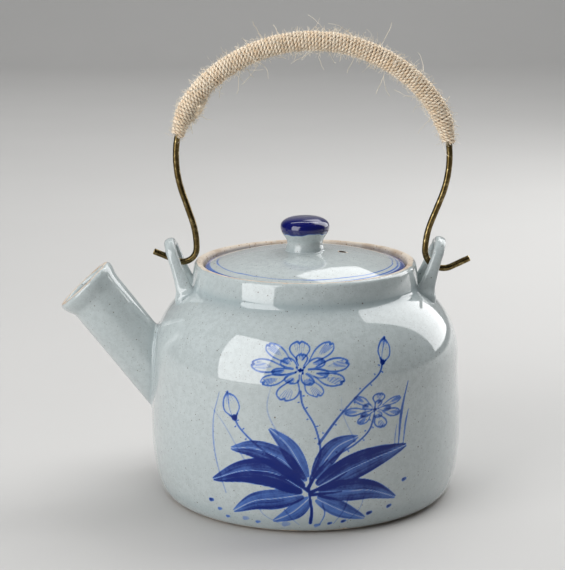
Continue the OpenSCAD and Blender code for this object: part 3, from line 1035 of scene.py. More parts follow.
@dataclass
class Spout:
    """The straight spout: tube, flared lip and the fillet that joins it to the wall."""

    shape: PotShape
    slope: float = 52.4
    mouth: Point2 = (-97.4, 94.0)
    length: float = 62.0
    root_r: float = 12.4
    neck_r: float = 12.7
    bore_r: float = 9.8
    lip_r: float = 14.5
    lip_bore_r: float = 11.0
    lip_length: float = 9.0
    lip_bend: float = 5.0
    fillet: float = 2.0
    straight: float = 26.0
    """Distance from the mouth at which straight lines to the wall start."""
    outer_step: float = 0.9
    bore_step: float = 1.0
    around: int = 112

    def __post_init__(self) -> None:
        """Works out the directions along the spout and towards its underside."""
        a = math.radians(90 - self.slope)
        self.axis = np.array([-math.sin(a), 0, math.cos(a)])
        self.under = np.array([-math.cos(a), 0, -math.sin(a)])
        self.middle = np.array([self.mouth[0], 0.0, self.mouth[1]])
        self.edge = (self.lip_r - self.lip_bore_r) / 2

    def ring(self, along: float, radius: float) -> Array:
        """One ring of points round the spout.

        Args:
            along: Distance from the mouth, negative towards the pot.
            radius: Radius of the ring.

        Returns:
            The points.
        """
        lift = along + self.lip_length
        turn = math.radians(self.lip_bend) * min(1.0, max(0.0, (lift + 3.0) / 6.0))
        bent = self.axis * math.cos(turn) + self.under * math.sin(turn)
        side = self.under * math.cos(turn) - self.axis * math.sin(turn)
        base = self.middle - self.lip_length * self.axis
        return hoop(base + lift * (bent if lift > 0 else self.axis), radius, ACROSS, side,
                    turns(self.around))

    def flared(self, along: float, neck: float, lip: float) -> float:
        """Radius of the outside or the bore, given that below the lip and at the mouth."""
        share = max(0.0, (along + self.lip_length) / (self.lip_length - self.edge))
        return neck + (lip - neck) * swell(min(1, share))

    def outer(self, along: float) -> float:
        """Radius of the spout's outside.

        Args:
            along: Distance from the mouth.

        Returns:
            The radius.
        """
        if along < -self.lip_length:
            share = (along + self.length) / (self.length - self.lip_length)
            return self.root_r + (self.neck_r - self.root_r) * share
        return self.flared(along, self.neck_r, self.lip_r)

    def build(self, glaze: Finish) -> Piece:
        """Builds the spout.

        Args:
            glaze: Its finish.

        Returns:
            The spout.
        """
        edge, straight = self.edge, self.straight
        high = self.ring(-straight, self.outer(-straight))
        rings = self.flare(self.shape.onto(high, -self.axis), high)
        start = rings[-1]
        rings += [start * (1 - share) + high * share for share in np.linspace(0, 1, 17)[1:]]
        rings += [self.ring(along, self.outer(along))
                  for along in np.arange(1 - straight, -edge, self.outer_step)]
        rings += [self.ring(-edge + edge * math.sin(a),
                            (self.lip_r + self.lip_bore_r) / 2 + edge * math.cos(a))
                  for a in np.radians(np.arange(0, 181, 12))]
        rings += [self.ring(along, self.flared(along, self.bore_r, self.lip_bore_r))
                  for along in np.arange(-edge - 0.6, -straight, -self.bore_step)]
        low = self.ring(-straight, self.bore_r)
        end = self.shape.onto(low, -self.axis) - 0.15 * self.axis
        rings += [low * (1 - share) + end * share for share in np.linspace(0, 1, 20)]
        piece = Skin.build("spout_tube", np.array(rings), glaze, loop=True)
        self.dress(piece)
        return piece

    def flare(self, root: Array, high: Array) -> list[Array]:
        """The fillet from the wall up to the tube.

        Args:
            root: Where the tube's lines meet the wall.
            high: A ring higher up on the same lines.

        Returns:
            Rings from the wall up to the end of the fillet.
        """
        step = unit(high - root)
        normal = self.shape.normal(root)

        def flat(rows: Array) -> Array:
            """The part of directions that lies along the wall."""
            return rows - np.sum(rows * normal, axis=1)[:, None] * normal

        away = unit(-0.35 * flat(step) + unit(flat(root - root.mean(axis=0))))
        foot = self.shape.settle(root + self.fillet * away, 0.06)
        top = root + self.fillet * step
        rings = [self.shape.settle(root * 0.55 + foot * 0.45, 1.2), self.shape.settle(foot, 1.0)]
        for t in np.linspace(0, 1, 13):
            rings.append((1 - t) ** 2 * foot + 2 * t * (1 - t) * root + t * t * top)
        return rings

    def dress(self, piece: Piece) -> None:
        """Marks the bare clay of the mouth and the pooled glaze.

        Args:
            piece: The spout.
        """
        at = Skin.points(piece)
        away = at - self.middle
        along, lean = away @ self.axis, math.radians(self.lip_bend)
        turn = np.arctan2(away[:, 1], away[:, 2])
        uneven = 0.12 * ripple(turn * 12, along, 3.0) + 0.1 * ripple(turn * 12, along, 1.1, 1.0)
        level = along * math.cos(lean) + away @ self.under * math.sin(lean)
        Skin.mark(piece, Mark.BARE, 0.85 * smoothstep(-0.6, -0.1, level + 1.4 * uneven))
        wall = self.shape.outer_r(at[:, 2])
        Skin.mark(piece, Mark.POOL, 0.5 * bell(np.hypot(at[:, 0], at[:, 1]), wall, 2.5))


@dataclass
class Ear:
    """A strap loop that stands on the shoulder and holds one hook of the bail."""

    shape: PotShape
    side: int
    """-1 on the spout's side, 1 on the far side."""
    foot_x: float = 52.3
    foot_z: float = 90.6
    lean: float = 19.0
    height: float = 24.0
    width: float = 19.0
    foot_w: float = 24.0
    strap_t: float = 3.8
    strap_w: float = 4.8
    strap_foot_w: float = 8.0
    widening_z: float = 16.5
    """Height above the foot up to which the strap widens."""
    flare: float = 1.9
    flare_z: float = 5.0
    sunk: float = 5.0
    power: float = 2.6
    around: int = 40

    def line(self) -> list[Point3]:
        """The strap's centre line in its own plane.

        Returns:
            The points' places across and up, each with the strap's turn there.
        """
        loop_r = (self.width - self.strap_t) / 2
        leg_y = (self.foot_w - self.strap_t) / 2
        arch_z = self.height - loop_r - self.strap_t / 2
        splay = math.acos(loop_r / math.hypot(leg_y, arch_z)) - math.atan2(arch_z, leg_y)
        top_y, top_z = loop_r * math.cos(splay), arch_z + loop_r * math.sin(splay)
        down = np.linspace(1, 0, 26)[:-1] * (top_z / math.cos(splay) + self.sunk)
        left = [(-(top_y + d * math.sin(splay)), top_z - d * math.cos(splay), math.pi - splay)
                for d in down]
        over = [(loop_r * math.cos(a), arch_z + loop_r * math.sin(a), a)
                for a in np.linspace(math.pi - splay, splay, 34)]
        right = [(-y, z, splay) for y, z, _ in reversed(left)]
        return left + over + right

    def build(self, glaze: Finish) -> Piece:
        """Builds the ear.

        Args:
            glaze: Its finish.

        Returns:
            The ear.
        """
        lean = math.radians(self.side * self.lean)
        place = np.array([[math.cos(lean), 0, math.sin(lean)], [0, 1, 0],
                          [-math.sin(lean), 0, math.cos(lean)]])
        a = turns(self.around)
        c, s = (np.sign(wave) * np.abs(wave) ** (2 / self.power) for wave in (np.cos(a), np.sin(a)))
        foot = np.array([self.side * self.foot_x, 0.0, self.foot_z])
        rings = []
        for i, (y, z, turn) in enumerate(self.line()):
            centre = place @ np.array([0.0, y, z]) + foot
            above = centre[2] - self.shape.shoulder_top(centre)
            low = max(0.0, self.widening_z - z) / self.widening_z
            flare = self.flare * max(0.0, 1 - max(above, 0.0) / self.flare_z) ** 2
            press = 0.16 * math.sin(0.9 * i + self.side) * (1 - min(1.0, low * 1.6))
            wide = ((self.strap_w + (self.strap_foot_w - self.strap_w) * low**2) / 2
                    + 0.6 * flare + 0.4 * press)
            out = (self.strap_t / 2 + flare) * s
            ring = np.stack([wide * c, y + out * math.cos(turn), z + out * math.sin(turn)], axis=1)
            rings.append(ring @ place.T + foot)
        name = f"ear_strap_{'far' if self.side > 0 else 'near'}"
        piece = Skin.build(name, np.array(rings), glaze)
        at = Skin.points(piece)
        Skin.mark(piece, Mark.POOL, 0.55 * bell(at[:, 2], self.shape.shoulder_top(at.T), 2.2))
        return piece


# ------------ lid


@dataclass
class Lid:
    """The domed lid with its locating flange, vent and painted rings."""

    lid_r: float = 44.3
    seat_z: float = 98.2
    edge_t: float = 3.4
    rise: float = 6.7
    dome_t: float = 4.0
    edge_round: float = 1.2
    flange_r: float = 38.4
    flange_t: float = 3.6
    flange_drop: float = 7.6
    vent_r: float = 1.6
    vent_reach: float = 16.6
    vent_turn: float = -8.0
    ring_radii: Point3 = (43.2, 41.0, 38.7)
    """Radii of the painted rings: broad, its second touch, and thin."""
    plain_r: float = 30.0
    """Radius up to which the dome is unpainted."""
    fine: float = 0.42
    """Width of the faces beyond it."""
    around: int = 288

    @property
    def top(self) -> float:
        """Height of the dome's crown."""
        return self.seat_z + self.edge_t + self.rise

    @property
    def dome_r(self) -> float:
        """Radius of the dome."""
        chord = self.lid_r - self.edge_round
        return (chord**2 + self.rise**2) / (2 * self.rise)

    @property
    def vent(self) -> Point2:
        """The vent's place seen from above."""
        turn = math.radians(self.vent_turn)
        return self.vent_reach * math.cos(turn), self.vent_reach * math.sin(turn)

    def dome(self, radii: Sequence[float], depth: float = 0.0) -> list[Point2]:
        """Points of the dome's curve at radii, a depth below its top face."""
        middle, radius = self.top - self.dome_r, self.dome_r - depth
        return [(r, middle + math.sqrt(radius**2 - r**2)) for r in radii]

    def profile(self) -> list[Point2]:
        """The lid's outline.

        Returns:
            The points from the axis under the dome, round the flange and the edge, back to it.
        """
        edge_z, bottom = self.seat_z + self.edge_t, self.seat_z - self.flange_drop
        inner, outer = self.flange_r - self.flange_t, self.flange_r
        chord = self.lid_r - self.edge_round
        radii = np.concatenate([np.linspace(0.0, self.plain_r, 24),
                                np.arange(self.plain_r + 0.5, chord + 0.01, self.fine)])
        return ([(0.0, self.top - self.dome_t)]
                + self.dome(np.linspace(4, inner - 1.0, 9), self.dome_t)
                + [(inner - 0.2, self.seat_z + 0.3), (inner, self.seat_z - 0.8),
                   (inner, bottom + 0.8), (inner + 0.25, bottom + 0.2), (inner + 0.9, bottom),
                   (outer - 0.9, bottom), (outer - 0.25, bottom + 0.2), (outer, bottom + 0.8),
                   (outer, self.seat_z), (self.lid_r - 0.5, self.seat_z),
                   (self.lid_r, self.seat_z + 0.5)]
                + arc(chord, edge_z - self.edge_round, self.edge_round, 0, 75, 6)
                + self.dome(radii)[::-1][1:])

    def build(self, glaze: Finish) -> Piece:
        """Builds the lid.

        Args:
            glaze: Its finish.

        Returns:
            The lid.
        """
        rings = Skin.revolve(np.array(self.profile()), turns(self.around))
        piece = Skin.build("lid_dome", rings, glaze, poles=(True, True))
        place = Vector((*self.vent, self.top - 2))
        Skin.cut(piece, Skin.drill(place, Vector((0, 0, 1)), self.vent_r, sides=28))
        self.dress(piece)
        return piece

    def dress(self, piece: Piece) -> None:
        """Marks the painted rings, the painted shade in the vent and the bare clay under the edge.

        Args:
            piece: The lid.
        """
        x, y, z = Skin.points(piece).T
        radius, turn = np.hypot(x, y), np.arctan2(x, -y)
        wobble = (0.35 * np.sin(2 * turn + 0.6) + 0.2 * np.sin(5 * turn + 2.0)
                  + 0.12 * np.sin(11 * turn))
        load = 0.78 + 0.22 * np.sin(turn + 0.9) + 0.1 * np.sin(7 * turn + 1.0)
        sides = np.abs(np.sin(turn)) ** 1.5
        broad_r, again_r, thin_r = self.ring_radii
        broad = self.band(radius, broad_r + 0.5 * wobble, 0.55 + 0.75 * sides)
        again = self.band(radius, again_r + wobble, 0.45) * smoothstep(0.2, 0.9, np.sin(turn + 0.2))
        thin = self.band(radius, thin_r + 0.8 * wobble, 0.34 + 0.1 * np.sin(3 * turn))
        ink = np.maximum.reduce([broad * (0.42 + 0.5 * sides) * load, again * 0.5,
                                 thin * (0.42 + 0.22 * sides) * load])
        Skin.mark(piece, Mark.INK, np.where(z > self.seat_z + 1.0, ink, 0.0))
        from_vent = np.hypot(x - self.vent[0], y - self.vent[1]) - self.vent_r
        under = (z < self.seat_z + 0.6 + 0.3 * wobble) & (radius > self.flange_r - 0.2)
        bare = np.maximum(under, 1 - smoothstep(0.0, 0.5, from_vent))
        # Inside the vent the bare mark goes past 1, which paints the hole's wall dark as painted
        # shade.
        Skin.mark(piece, Mark.BARE, np.where(from_vent < 0.1, Skin.MOST, bare))

    @staticmethod
    def band(radius: Array, middle: Array, half: Array | float) -> Array:
        """A soft-edged ring."""
        return 1 - smoothstep(0.55, 1.25, np.abs(radius - middle) / half)


@dataclass
class Knob:
    """The waisted knob, dipped in cobalt down to a wavy line."""

    base_z: float = 108.3
    widest_r: float = 10.8
    height: float = 14.6
    wide_z: float = 9.8
    waist_r: float = 7.9
    waist_z: float = 2.9
    foot_r: float = 8.3
    sunk: float = 2.2
    dip_z: float = 7.6
    roundness: float = 0.8
    around: int = 128

    def build(self, glaze: Finish) -> Piece:
        """Builds the knob.

        Args:
            glaze: Its finish.

        Returns:
            The knob.
        """
        foot = (self.foot_r + 0.35, 0.1)
        waist, widest = (self.waist_r, self.waist_z), (self.widest_r, self.wide_z)
        line = ([(0.0, -self.sunk), (self.foot_r - 0.6, -self.sunk), (self.foot_r + 1.3, -0.75),
                 (self.foot_r + 0.9, -0.35), foot]
                + PotShape.ease(*foot, *waist, 14) + PotShape.ease(*waist, *widest, 30)
                + [(self.widest_r * math.cos(a) ** self.roundness,
                    self.wide_z + (self.height - self.wide_z) * math.sin(a) ** self.roundness)
                   for a in np.radians(np.linspace(3, 87, 30))] + [(0.0, self.height)])
        rings = Skin.revolve(np.array(line) + np.array([0.0, self.base_z]), turns(self.around))
        piece = Skin.build("knob_button", rings, glaze, poles=(True, True))
        x, y, z = Skin.points(piece).T
        turn = np.arctan2(x, -y)
        dip = (self.base_z + self.dip_z + 0.45 * np.sin(2 * turn + 0.8)
               + 0.25 * np.sin(5 * turn) + 0.12 * np.sin(13 * turn))
        Skin.mark(piece, Mark.INK, 1.15 * smoothstep(-0.35, 0.55, z - dip))
        Skin.mark(piece, Mark.POOL, 0.35 * bell(z, self.base_z + 0.4, 1.3))
        return piece


# ------------ painting


@dataclass(frozen=True)
class Stroke:
    """One touch of the brush on the wall, in millimetres round and up the pot."""

    spine: Array
    half: Array
    ink: float
    soft: float = 0.22
    lean: float = 0.0
    """How much more ink one side has."""
    streak: float = 0.0
    """Strength of the brush hairs' streaks."""

    def cover(self, u: Array, z: Array) -> Array:
        """Ink that the stroke leaves at points.

        Args:
            u: Places round the wall.
            z: Heights.

        Returns:
            The ink, from 0 to 1.
        """
        best = np.full(u.shape, 1e9)
        edge, side, run = (np.zeros(u.shape) for _ in range(3))
        length = 0.0
        for a, b, half_a, half_b in zip(self.spine, self.spine[1:], self.half, self.half[1:]):
            step = b - a
            size = float(np.hypot(*step)) or 1e-6
            t = np.clip(((u - a[0]) * step[0] + (z - a[1]) * step[1]) / size**2, 0, 1)
            du, dz = u - a[0] - t * step[0], z - a[1] - t * step[1]
            width = half_a + (half_b - half_a) * t
            gap = np.hypot(du, dz) - width
            near = gap < best
            aside = (step[0] * dz - step[1] * du) / size / np.maximum(width, 0.05)
            best, side, run, edge = (
                np.where(near, new, old) for new, old in
                ((gap, best), (aside, side), (length + t * size, run), (width, edge)))
            length += size
        tone = 1 + self.lean * np.clip(side, -1, 1)
        if self.streak:
            hairs = ripple(side * edge * 1.9, run * 0.06, 1.0, 0.3 + self.spine[0][0])
            wet_rim = 1 + 0.16 * smoothstep(-0.7, 0.0, best)
            dry_end = 1 - 0.16 * smoothstep(0.6 * length, length, run)
            tone = tone * (1 + self.streak * hairs) * wet_rim * dry_end
        return np.clip((1 - smoothstep(-self.soft, self.soft, best)) * self.ink * tone, 0, 1)


@dataclass
class FlowerSpray:
    """A folk flower spray in cobalt: blossoms, buds, stems, leaves and grass.

    Places are millimetres right of the front and above the foot.
    """

    strokes: list[Stroke] = field(default_factory=list)

    LEAVES = (
        ([(-3, 22), (-14, 28), (-27, 28), (-42, 22)], 6.2, 0.97),
        ([(-2, 25), (-11, 34), (-22, 38), (-33, 37)], 4.8, 0.80),
        ([(-3, 19), (-13, 17), (-23, 15), (-33, 9)], 4.6, 0.74),
        ([(-1, 27), (-5, 35), (-9, 41), (-16, 47)], 4.0, 0.70),
        ([(5, 23), (17, 29), (29, 33), (44, 36)], 5.8, 0.90),
        ([(5, 20), (16, 20), (27, 19), (39, 14)], 5.0, 0.84),
        ([(3, 27), (8, 35), (13, 40), (21, 43)], 4.2, 0.74),
        ([(4, 17), (11, 13), (17, 10), (25, 6.5)], 3.8, 0.66),
        ([(0, 17), (-4, 13), (-8, 10), (-15, 6.5)], 3.6, 0.62),
    )
    """Points along each leaf's vein from stalk to tip, half its greatest width, and its ink."""

    LEAF_STALKS = (
        [(1, 6), (1.5, 12), (0.5, 20), (1, 27)], [(1, 20), (-6, 25), (-12, 27)],
        [(1, 20), (9, 24), (16, 28)], [(1, 19), (8, 19.5), (14, 20)], [(0, 22), (4, 29), (8, 34)],
    )

    STEMS = (
        [(1, 26), (5, 37), (3, 48), (-2, 57), (-3, 63)],
        [(3, 27), (11, 35), (20, 40), (26, 45), (28.6, 51)],
        [(-2, 26), (-12, 33), (-22, 40), (-29, 46), (-31.5, 50)],
        [(4.5, 41), (13, 52), (23, 62), (31, 68), (33.5, 72.5)],
    )

    GRASS = (
        ([(-36, 17), (-41, 34), (-42, 48), (-39, 60)], (0.3, 0.45, 0.2), 0.34),
        ([(-27, 33), (-36, 46), (-43, 53)], (0.35, 0.3, 0.15), 0.3),
        ([(-12, 44), (-17, 55), (-15, 66)], (0.35, 0.3, 0.12), 0.3),
        ([(20, 41), (15, 52), (14, 60)], (0.3, 0.3, 0.1), 0.28),
        ([(40, 37), (42, 50), (46, 63)], (0.3, 0.75, 0.2), 0.6),
        ([(42.5, 37), (44, 45), (46, 51)], (0.3, 0.55, 0.2), 0.5),
        ([(38, 36), (38.5, 41), (39.5, 46)], (0.2, 0.4, 0.15), 0.4),
        ([(-22, 14), (-19, 9), (-12, 5)], (0.25, 0.22, 0.15), 0.36),
        ([(-10, 12), (-7, 8), (-4, 5)], (0.25, 0.22, 0.15), 0.4),
        ([(6, 15), (7, 10), (5, 5)], (0.35, 0.3, 0.2), 0.55),
        ([(17, 17), (15, 11), (11, 5)], (0.25, 0.25, 0.15), 0.42),
        ([(24, 17), (22, 11), (17, 6)], (0.25, 0.22, 0.15), 0.36),
    )
    """Points along each blade, its half widths, and its ink."""

    DABS = (
        (-44, 12.0, 1.3, 0.75), (-40, 8.6, 1.2, 0.5), (-36.5, 5.6, 1.1, 0.55),
        (-27.5, 6.2, 1.6, 0.32), (-22, 5.2, 1.2, 0.45), (-9.5, 5.0, 1.9, 0.3),
        (4, 4.6, 1.4, 0.4), (9.5, 5.4, 1.0, 0.75), (15.5, 6.0, 1.1, 0.7), (27, 8.6, 1.3, 0.85),
        (36.5, 10.2, 1.2, 0.72), (43.5, 21.0, 1.2, 0.8),
    )
    """Each dab's place, size and ink."""

    COVER = 0.97
    """The most that one stroke darkens the wall."""

    BLOSSOM_STRETCH = (1.18, 0.66)
    """Width and height of a blossom against those of a round one."""

    BLOSSOM_ROWS = ((0, 6.0, 17.5, 6.4), (-2, 2.6, 9.2, 4.4))
    """Petals more than the outer row has, inner and outer reach, and width of each row."""

    BUD = (
        ([(0.02, 0.1), (0.35, 1.0), (0.75, 0.75), (1.02, -0.02)], (0.25, 0.34, 0.42), 0.6),
        ([(0.02, -0.1), (0.35, -0.95), (0.75, -0.8), (0.98, 0.03)], (0.25, 0.32, 0.4), 0.56),
        ([(0.08, 0.25), (0.45, 0.3), (0.8, 0.12), (1.0, 0.0)], (0.2, 0.26, 0.3), 0.45),
    )
    """Edges of a bud's petals, as shares of its length and width, their half widths and ink."""

    def __post_init__(self) -> None:
        """Paints the spray."""
        for points, half, ink in self.LEAVES:
            self.leaf(points, half, ink)
        for points in self.LEAF_STALKS:
            self.line(points, (0.75, 0.5, 0.25), 0.98)
        for k, points in enumerate(self.STEMS):
            self.stem(points, k)
        for points, widths, ink in self.GRASS:
            self.line(points, widths, ink)
        self.blossom((-3.0, 71.5), 1.0, 12.0, 9)
        self.blossom((29.0, 53.5), 0.62, -25.0, 7)
        self.bud((-31.5, 50.0), (-35.0, 60.5), 1.0)
        self.bud((33.5, 72.5), (37.5, 81.5), 0.85)
        for u, z, size, ink in self.DABS:
            self.dab((u - size * 0.5, z - 0.1), (u + size * 0.5, z + 0.15 * size),
                     (size * 0.62, size * 0.5), ink, 0.4, 0.1, 0.15)

    def dab(self, start: Point2, end: Point2, halves: Point2, ink: float, *more: float) -> None:
        """Adds a short touch of the brush, given half its width at its start and end."""
        self.strokes.append(Stroke(np.array([start, end]), np.array(halves), ink, *more))

    def line(self, points: Sequence[Point2], widths: Sequence[float], ink: float,
             soft: float = 0.25) -> None:
        """Adds a fine line.

        Args:
            points: Points that the line passes.
            widths: Half widths, spread evenly along it.
            ink: Its strength.
            soft: Softness of its edge.
        """
        spine = spline(points, 8)
        share = np.linspace(0, 1, len(spine))
        half = np.interp(share, np.linspace(0, 1, len(widths)), widths)
        self.strokes.append(Stroke(spine, half, ink, soft))

    def leaf(self, points: Sequence[Point2], half: float, ink: float, split: float = 0.16) -> None:
        """Adds a broad leaf of two strokes with a bare vein between them.

        Args:
            points: Points along its vein, from stalk to tip.
            half: Half of its greatest width.
            ink: Its strength.
            split: Half width of the bare vein.
        """
        spine = spline(points, 9)
        t = np.linspace(0, 1, len(spine))
        body = half * np.sin(np.pi * np.clip(0.08 + 0.9 * t, 0, 1) ** 0.85) ** 0.8
        step = unit(np.gradient(spine, axis=0))
        out = np.stack([-step[:, 1], step[:, 0]], axis=1)
        for side, share, strength in ((1, 1.0, ink), (-1, 0.86, ink * 0.84)):
            width = np.maximum(body * share / 2, 0.12)
            middle = spine + side * out * (width + split)[:, None]
            self.strokes.append(Stroke(middle, width, strength, 0.28, side * 0.16, 0.17))

    def stem(self, points: Sequence[Point2], number: int) -> None:
        """Adds a stem with small thorns on alternate sides.

        Args:
            points: Points along it, from root to flower.
            number: The stem's number, which sets the side of its first thorn.
        """
        self.line(points, (0.6, 0.42, 0.36, 0.46), 0.66)
        curve = spline(points, 12)
        for i in range(4, len(curve) - 3, 5):
            step = curve[i + 1] - curve[i]
            aside = np.array([-step[1], step[0]]) / (np.linalg.norm(step) or 1.0)
            spot = curve[i] + (1.2 if (i + number) % 2 else -1.2) * aside
            self.dab(spot, spot + 0.45 * aside, (0.3, 0.2), 0.72, 0.2)

    def blossom(self, centre: Point2, scale: float, turn: float, petals: int) -> None:
        """Adds an open blossom in outline.

        Args:
            centre: Its middle.
            scale: Its size.
            turn: Turn in degrees.
            petals: Number of outer petals.
        """
        wide, high = self.BLOSSOM_STRETCH

        def at(angle: float, reach: float, aside: float = 0.0) -> Point2:
            """A place in the blossom.

            Args:
                angle: Direction of the petal in degrees.
                reach: Distance from the middle.
                aside: Distance across the petal.

            Returns:
                The place on the wall.
            """
            a = math.radians(angle + turn)
            x = reach * math.cos(a) - aside * math.sin(a)
            y = reach * math.sin(a) + aside * math.cos(a)
            return centre[0] + wide * scale * x, centre[1] + high * scale * y

        for row, (more, inner, outer, breadth) in enumerate(self.BLOSSOM_ROWS):
            for k in range(petals + more):
                angle = 360 * k / (petals + more) + 23 * row
                long = outer * (1 + 0.10 * math.sin(2.3 * k + row))
                w = breadth * (1 + 0.12 * math.cos(3.1 * k))
                mid = (inner + long) / 2
                edge = ((mid, 0.5), (long * 0.9, 0.46), (long * 1.02, 0.14),
                        (long * 0.97, 0.0), (long * 1.02, -0.16), (long * 0.88, -0.48),
                        (mid, -0.5))
                loop = [at(angle, reach, w * aside) for reach, aside in edge]
                self.line([at(angle, inner, 0.9), *loop, at(angle, inner, -0.9)],
                          (0.22, 0.36, 0.3, 0.46, 0.42, 0.3, 0.34, 0.2),
                          0.64 - 0.1 * ((k + row) % 2))
                for j in range(-2, 3):
                    vein = ((0.93, 0.13), (0.74, 0.10), (0.56 + 0.05 * abs(j), 0.07))
                    self.line([at(angle, long * share, j * w * aside) for share, aside in vein],
                              (0.22, 0.16, 0.06), 0.4, 0.2)
        thick = 0.6 + 0.4 * scale
        for k in range(9):
            reach = 1.4 * (k % 2)
            self.dab(at(40 * k, reach + 0.5), at(40 * k, reach + 0.9),
                     (0.42 * thick, 0.34 * thick), 0.85, 0.22)

    def bud(self, foot: Point2, tip: Point2, scale: float) -> None:
        """Adds a closed bud on a dark cup.

        Args:
            foot: Where the stem ends.
            tip: The bud's point.
            scale: Width against its usual one.
        """
        base, axis = np.array(foot), np.array(tip) - np.array(foot)
        side = np.array([-axis[1], axis[0]]) * 0.34 * scale

        def draw(points: Sequence[Point2], widths: Sequence[float], ink: float,
                 soft: float = 0.25) -> None:
            """Adds a line whose points are shares of the bud's length and width."""
            self.line([base + along * axis + aside * side for along, aside in points],
                      widths, ink, soft)

        for points, widths, ink in self.BUD:
            draw(points, widths, ink)
        for j in (-0.5, -0.15, 0.2, 0.55):
            draw([(0.92, j * 0.5), (0.7, j * 0.8), (0.55, j)], (0.2, 0.14, 0.06), 0.4, 0.2)
        draw([(-0.06, 0.0), (0.08, 0.0)], (0.5, 1.35 * scale, 0.5), 0.85)
        for aside in (-0.55, 0.55):
            draw([(-0.04, 0.0), (0.14, aside)], (0.6, 0.2), 0.8)

    def density(self, u: Array, z: Array) -> Array:
        """Ink at places on the wall.

        Args:
            u: Places round the wall, in millimetres right of the front.
            z: Heights in millimetres.

        Returns:
            The ink, from 0 to 1.
        """
        clear = np.ones(u.shape)
        for stroke in self.strokes:
            reach = float(stroke.half.max()) + 1.0
            low, high = stroke.spine.min(axis=0) - reach, stroke.spine.max(axis=0) + reach
            near = np.nonzero((u > low[0]) & (u < high[0]) & (z > low[1]) & (z < high[1]))[0]
            if len(near):
                clear[near] *= 1 - self.COVER * stroke.cover(u[near], z[near])
        return 1 - clear


# ------------ bail


@dataclass
class BailLine:
    """The bent centre line of the bail, in millimetres."""

    height: float = 98.0
    crown_bend_r: float = 66.0
    crown_bend: float = 46.0
    haunch_bend_r: float = 43.0
    leg_in: float = 20.0
    leg_in_r: float = 50.0
    leg_out_r: float = 38.0
    near_hook_r: float = 6.2
    far_hook_r: float = 8.2
    near_hook: Point2 = (21.0, 11.2)
    """Upward slope in degrees and straight length of the hook's tip on the spout side."""
    far_hook: Point2 = (27.0, 8.8)
    swing_z: float = 101.1
    lean: float = 1.8
    shift: float = 2.0
    cover: float = 19.0
    """Turn of the haunch that the grip covers, in degrees."""
    thinning: float = 11.0
    """Length over which each end of the grip thins."""

    @property
    def grip_half(self) -> float:
        """Length of the grip to each side of the crown."""
        return (math.radians(self.crown_bend) * self.crown_bend_r
                + math.radians(self.cover) * self.haunch_bend_r + self.thinning)

    def runs(self, hook_r: float, rise: float, tip: float) -> list[Point2]:
        """The bends from the crown to the tip.

        Args:
            hook_r: Radius of the hook.
            rise: Upward slope of the hook's tip.
            tip: Straight length of the tip.

        Returns:
            Radius and turn of each bend. A straight run has its length and no turn.
        """
        haunch = 90 - self.crown_bend
        drop = (self.crown_bend_r * (1 - math.cos(math.radians(self.crown_bend)))
                + self.haunch_bend_r * math.sin(math.radians(haunch)))
        bow = (self.leg_in_r + self.leg_out_r) * math.sin(math.radians(self.leg_in))
        straight = (self.height - drop - bow - hook_r) / math.cos(math.radians(self.leg_in))
        return [(self.crown_bend_r, -self.crown_bend), (self.haunch_bend_r, -haunch),
                (self.leg_in_r, -self.leg_in), (straight, 0.0), (self.leg_out_r, self.leg_in),
                (hook_r, 90 + rise), (tip, 0.0)]

    def half(self, hook_r: float, hook: Point2, spacing: float) -> tuple[Array, Array]:
        """One half of the line, flat, from the crown to the tip.

        Args:
            hook_r: Radius of the hook.
            hook: Upward slope and straight length of the hook's tip.
            spacing: Distance between points.

        Returns:
            The points, and the length of line up to each of them.
        """
        at, heading, length = np.zeros(2), 0.0, 0.0
        points, lengths = [at.copy()], [0.0]
        for radius, turn in self.runs(hook_r, *hook):
            angle = math.radians(turn)
            size = radius if turn == 0 else radius * abs(angle)
            count = max(2, int(math.ceil(size / spacing)))
            start, first = at.copy(), heading
            side = math.copysign(1.0, angle)
            centre = start + side * radius * np.array([-math.sin(first), math.cos(first)])
            for i in range(1, count + 1):
                share = i / count
                if turn == 0:
                    at = start + share * radius * np.array([math.cos(first), math.sin(first)])
                else:
                    heading = first + share * angle
                    at = centre - side * radius * np.array([-math.sin(heading), math.cos(heading)])
                points.append(at)
                lengths.append(length + share * size)
            length += size
        return np.array(points), np.array(lengths)

    def whole(self, spacing: float) -> tuple[Array, Array, Array]:
        """The whole line in place, from the spout side to the far side.

        Args:
            spacing: Distance between points.

        Returns:
            The points, the directions of the line there, and their distance along the line
            from the crown.
        """
        near, near_at = self.half(self.near_hook_r, self.near_hook, spacing)
        far, far_at = self.half(self.far_hook_r, self.far_hook, spacing)
        flat = np.vstack([near[:0:-1] * np.array([-1, 1]), far])
        along = np.concatenate([-near_at[:0:-1], far_at])
        x, z = flat[:, 0], flat[:, 1] + self.height
        a = math.radians(self.lean)
        placed = np.stack([x * math.cos(a) + z * math.sin(a) + self.shift, np.zeros_like(x),
                           -x * math.sin(a) + z * math.cos(a) + self.swing_z], axis=1)
        return placed, unit(np.gradient(placed, axis=0)), along


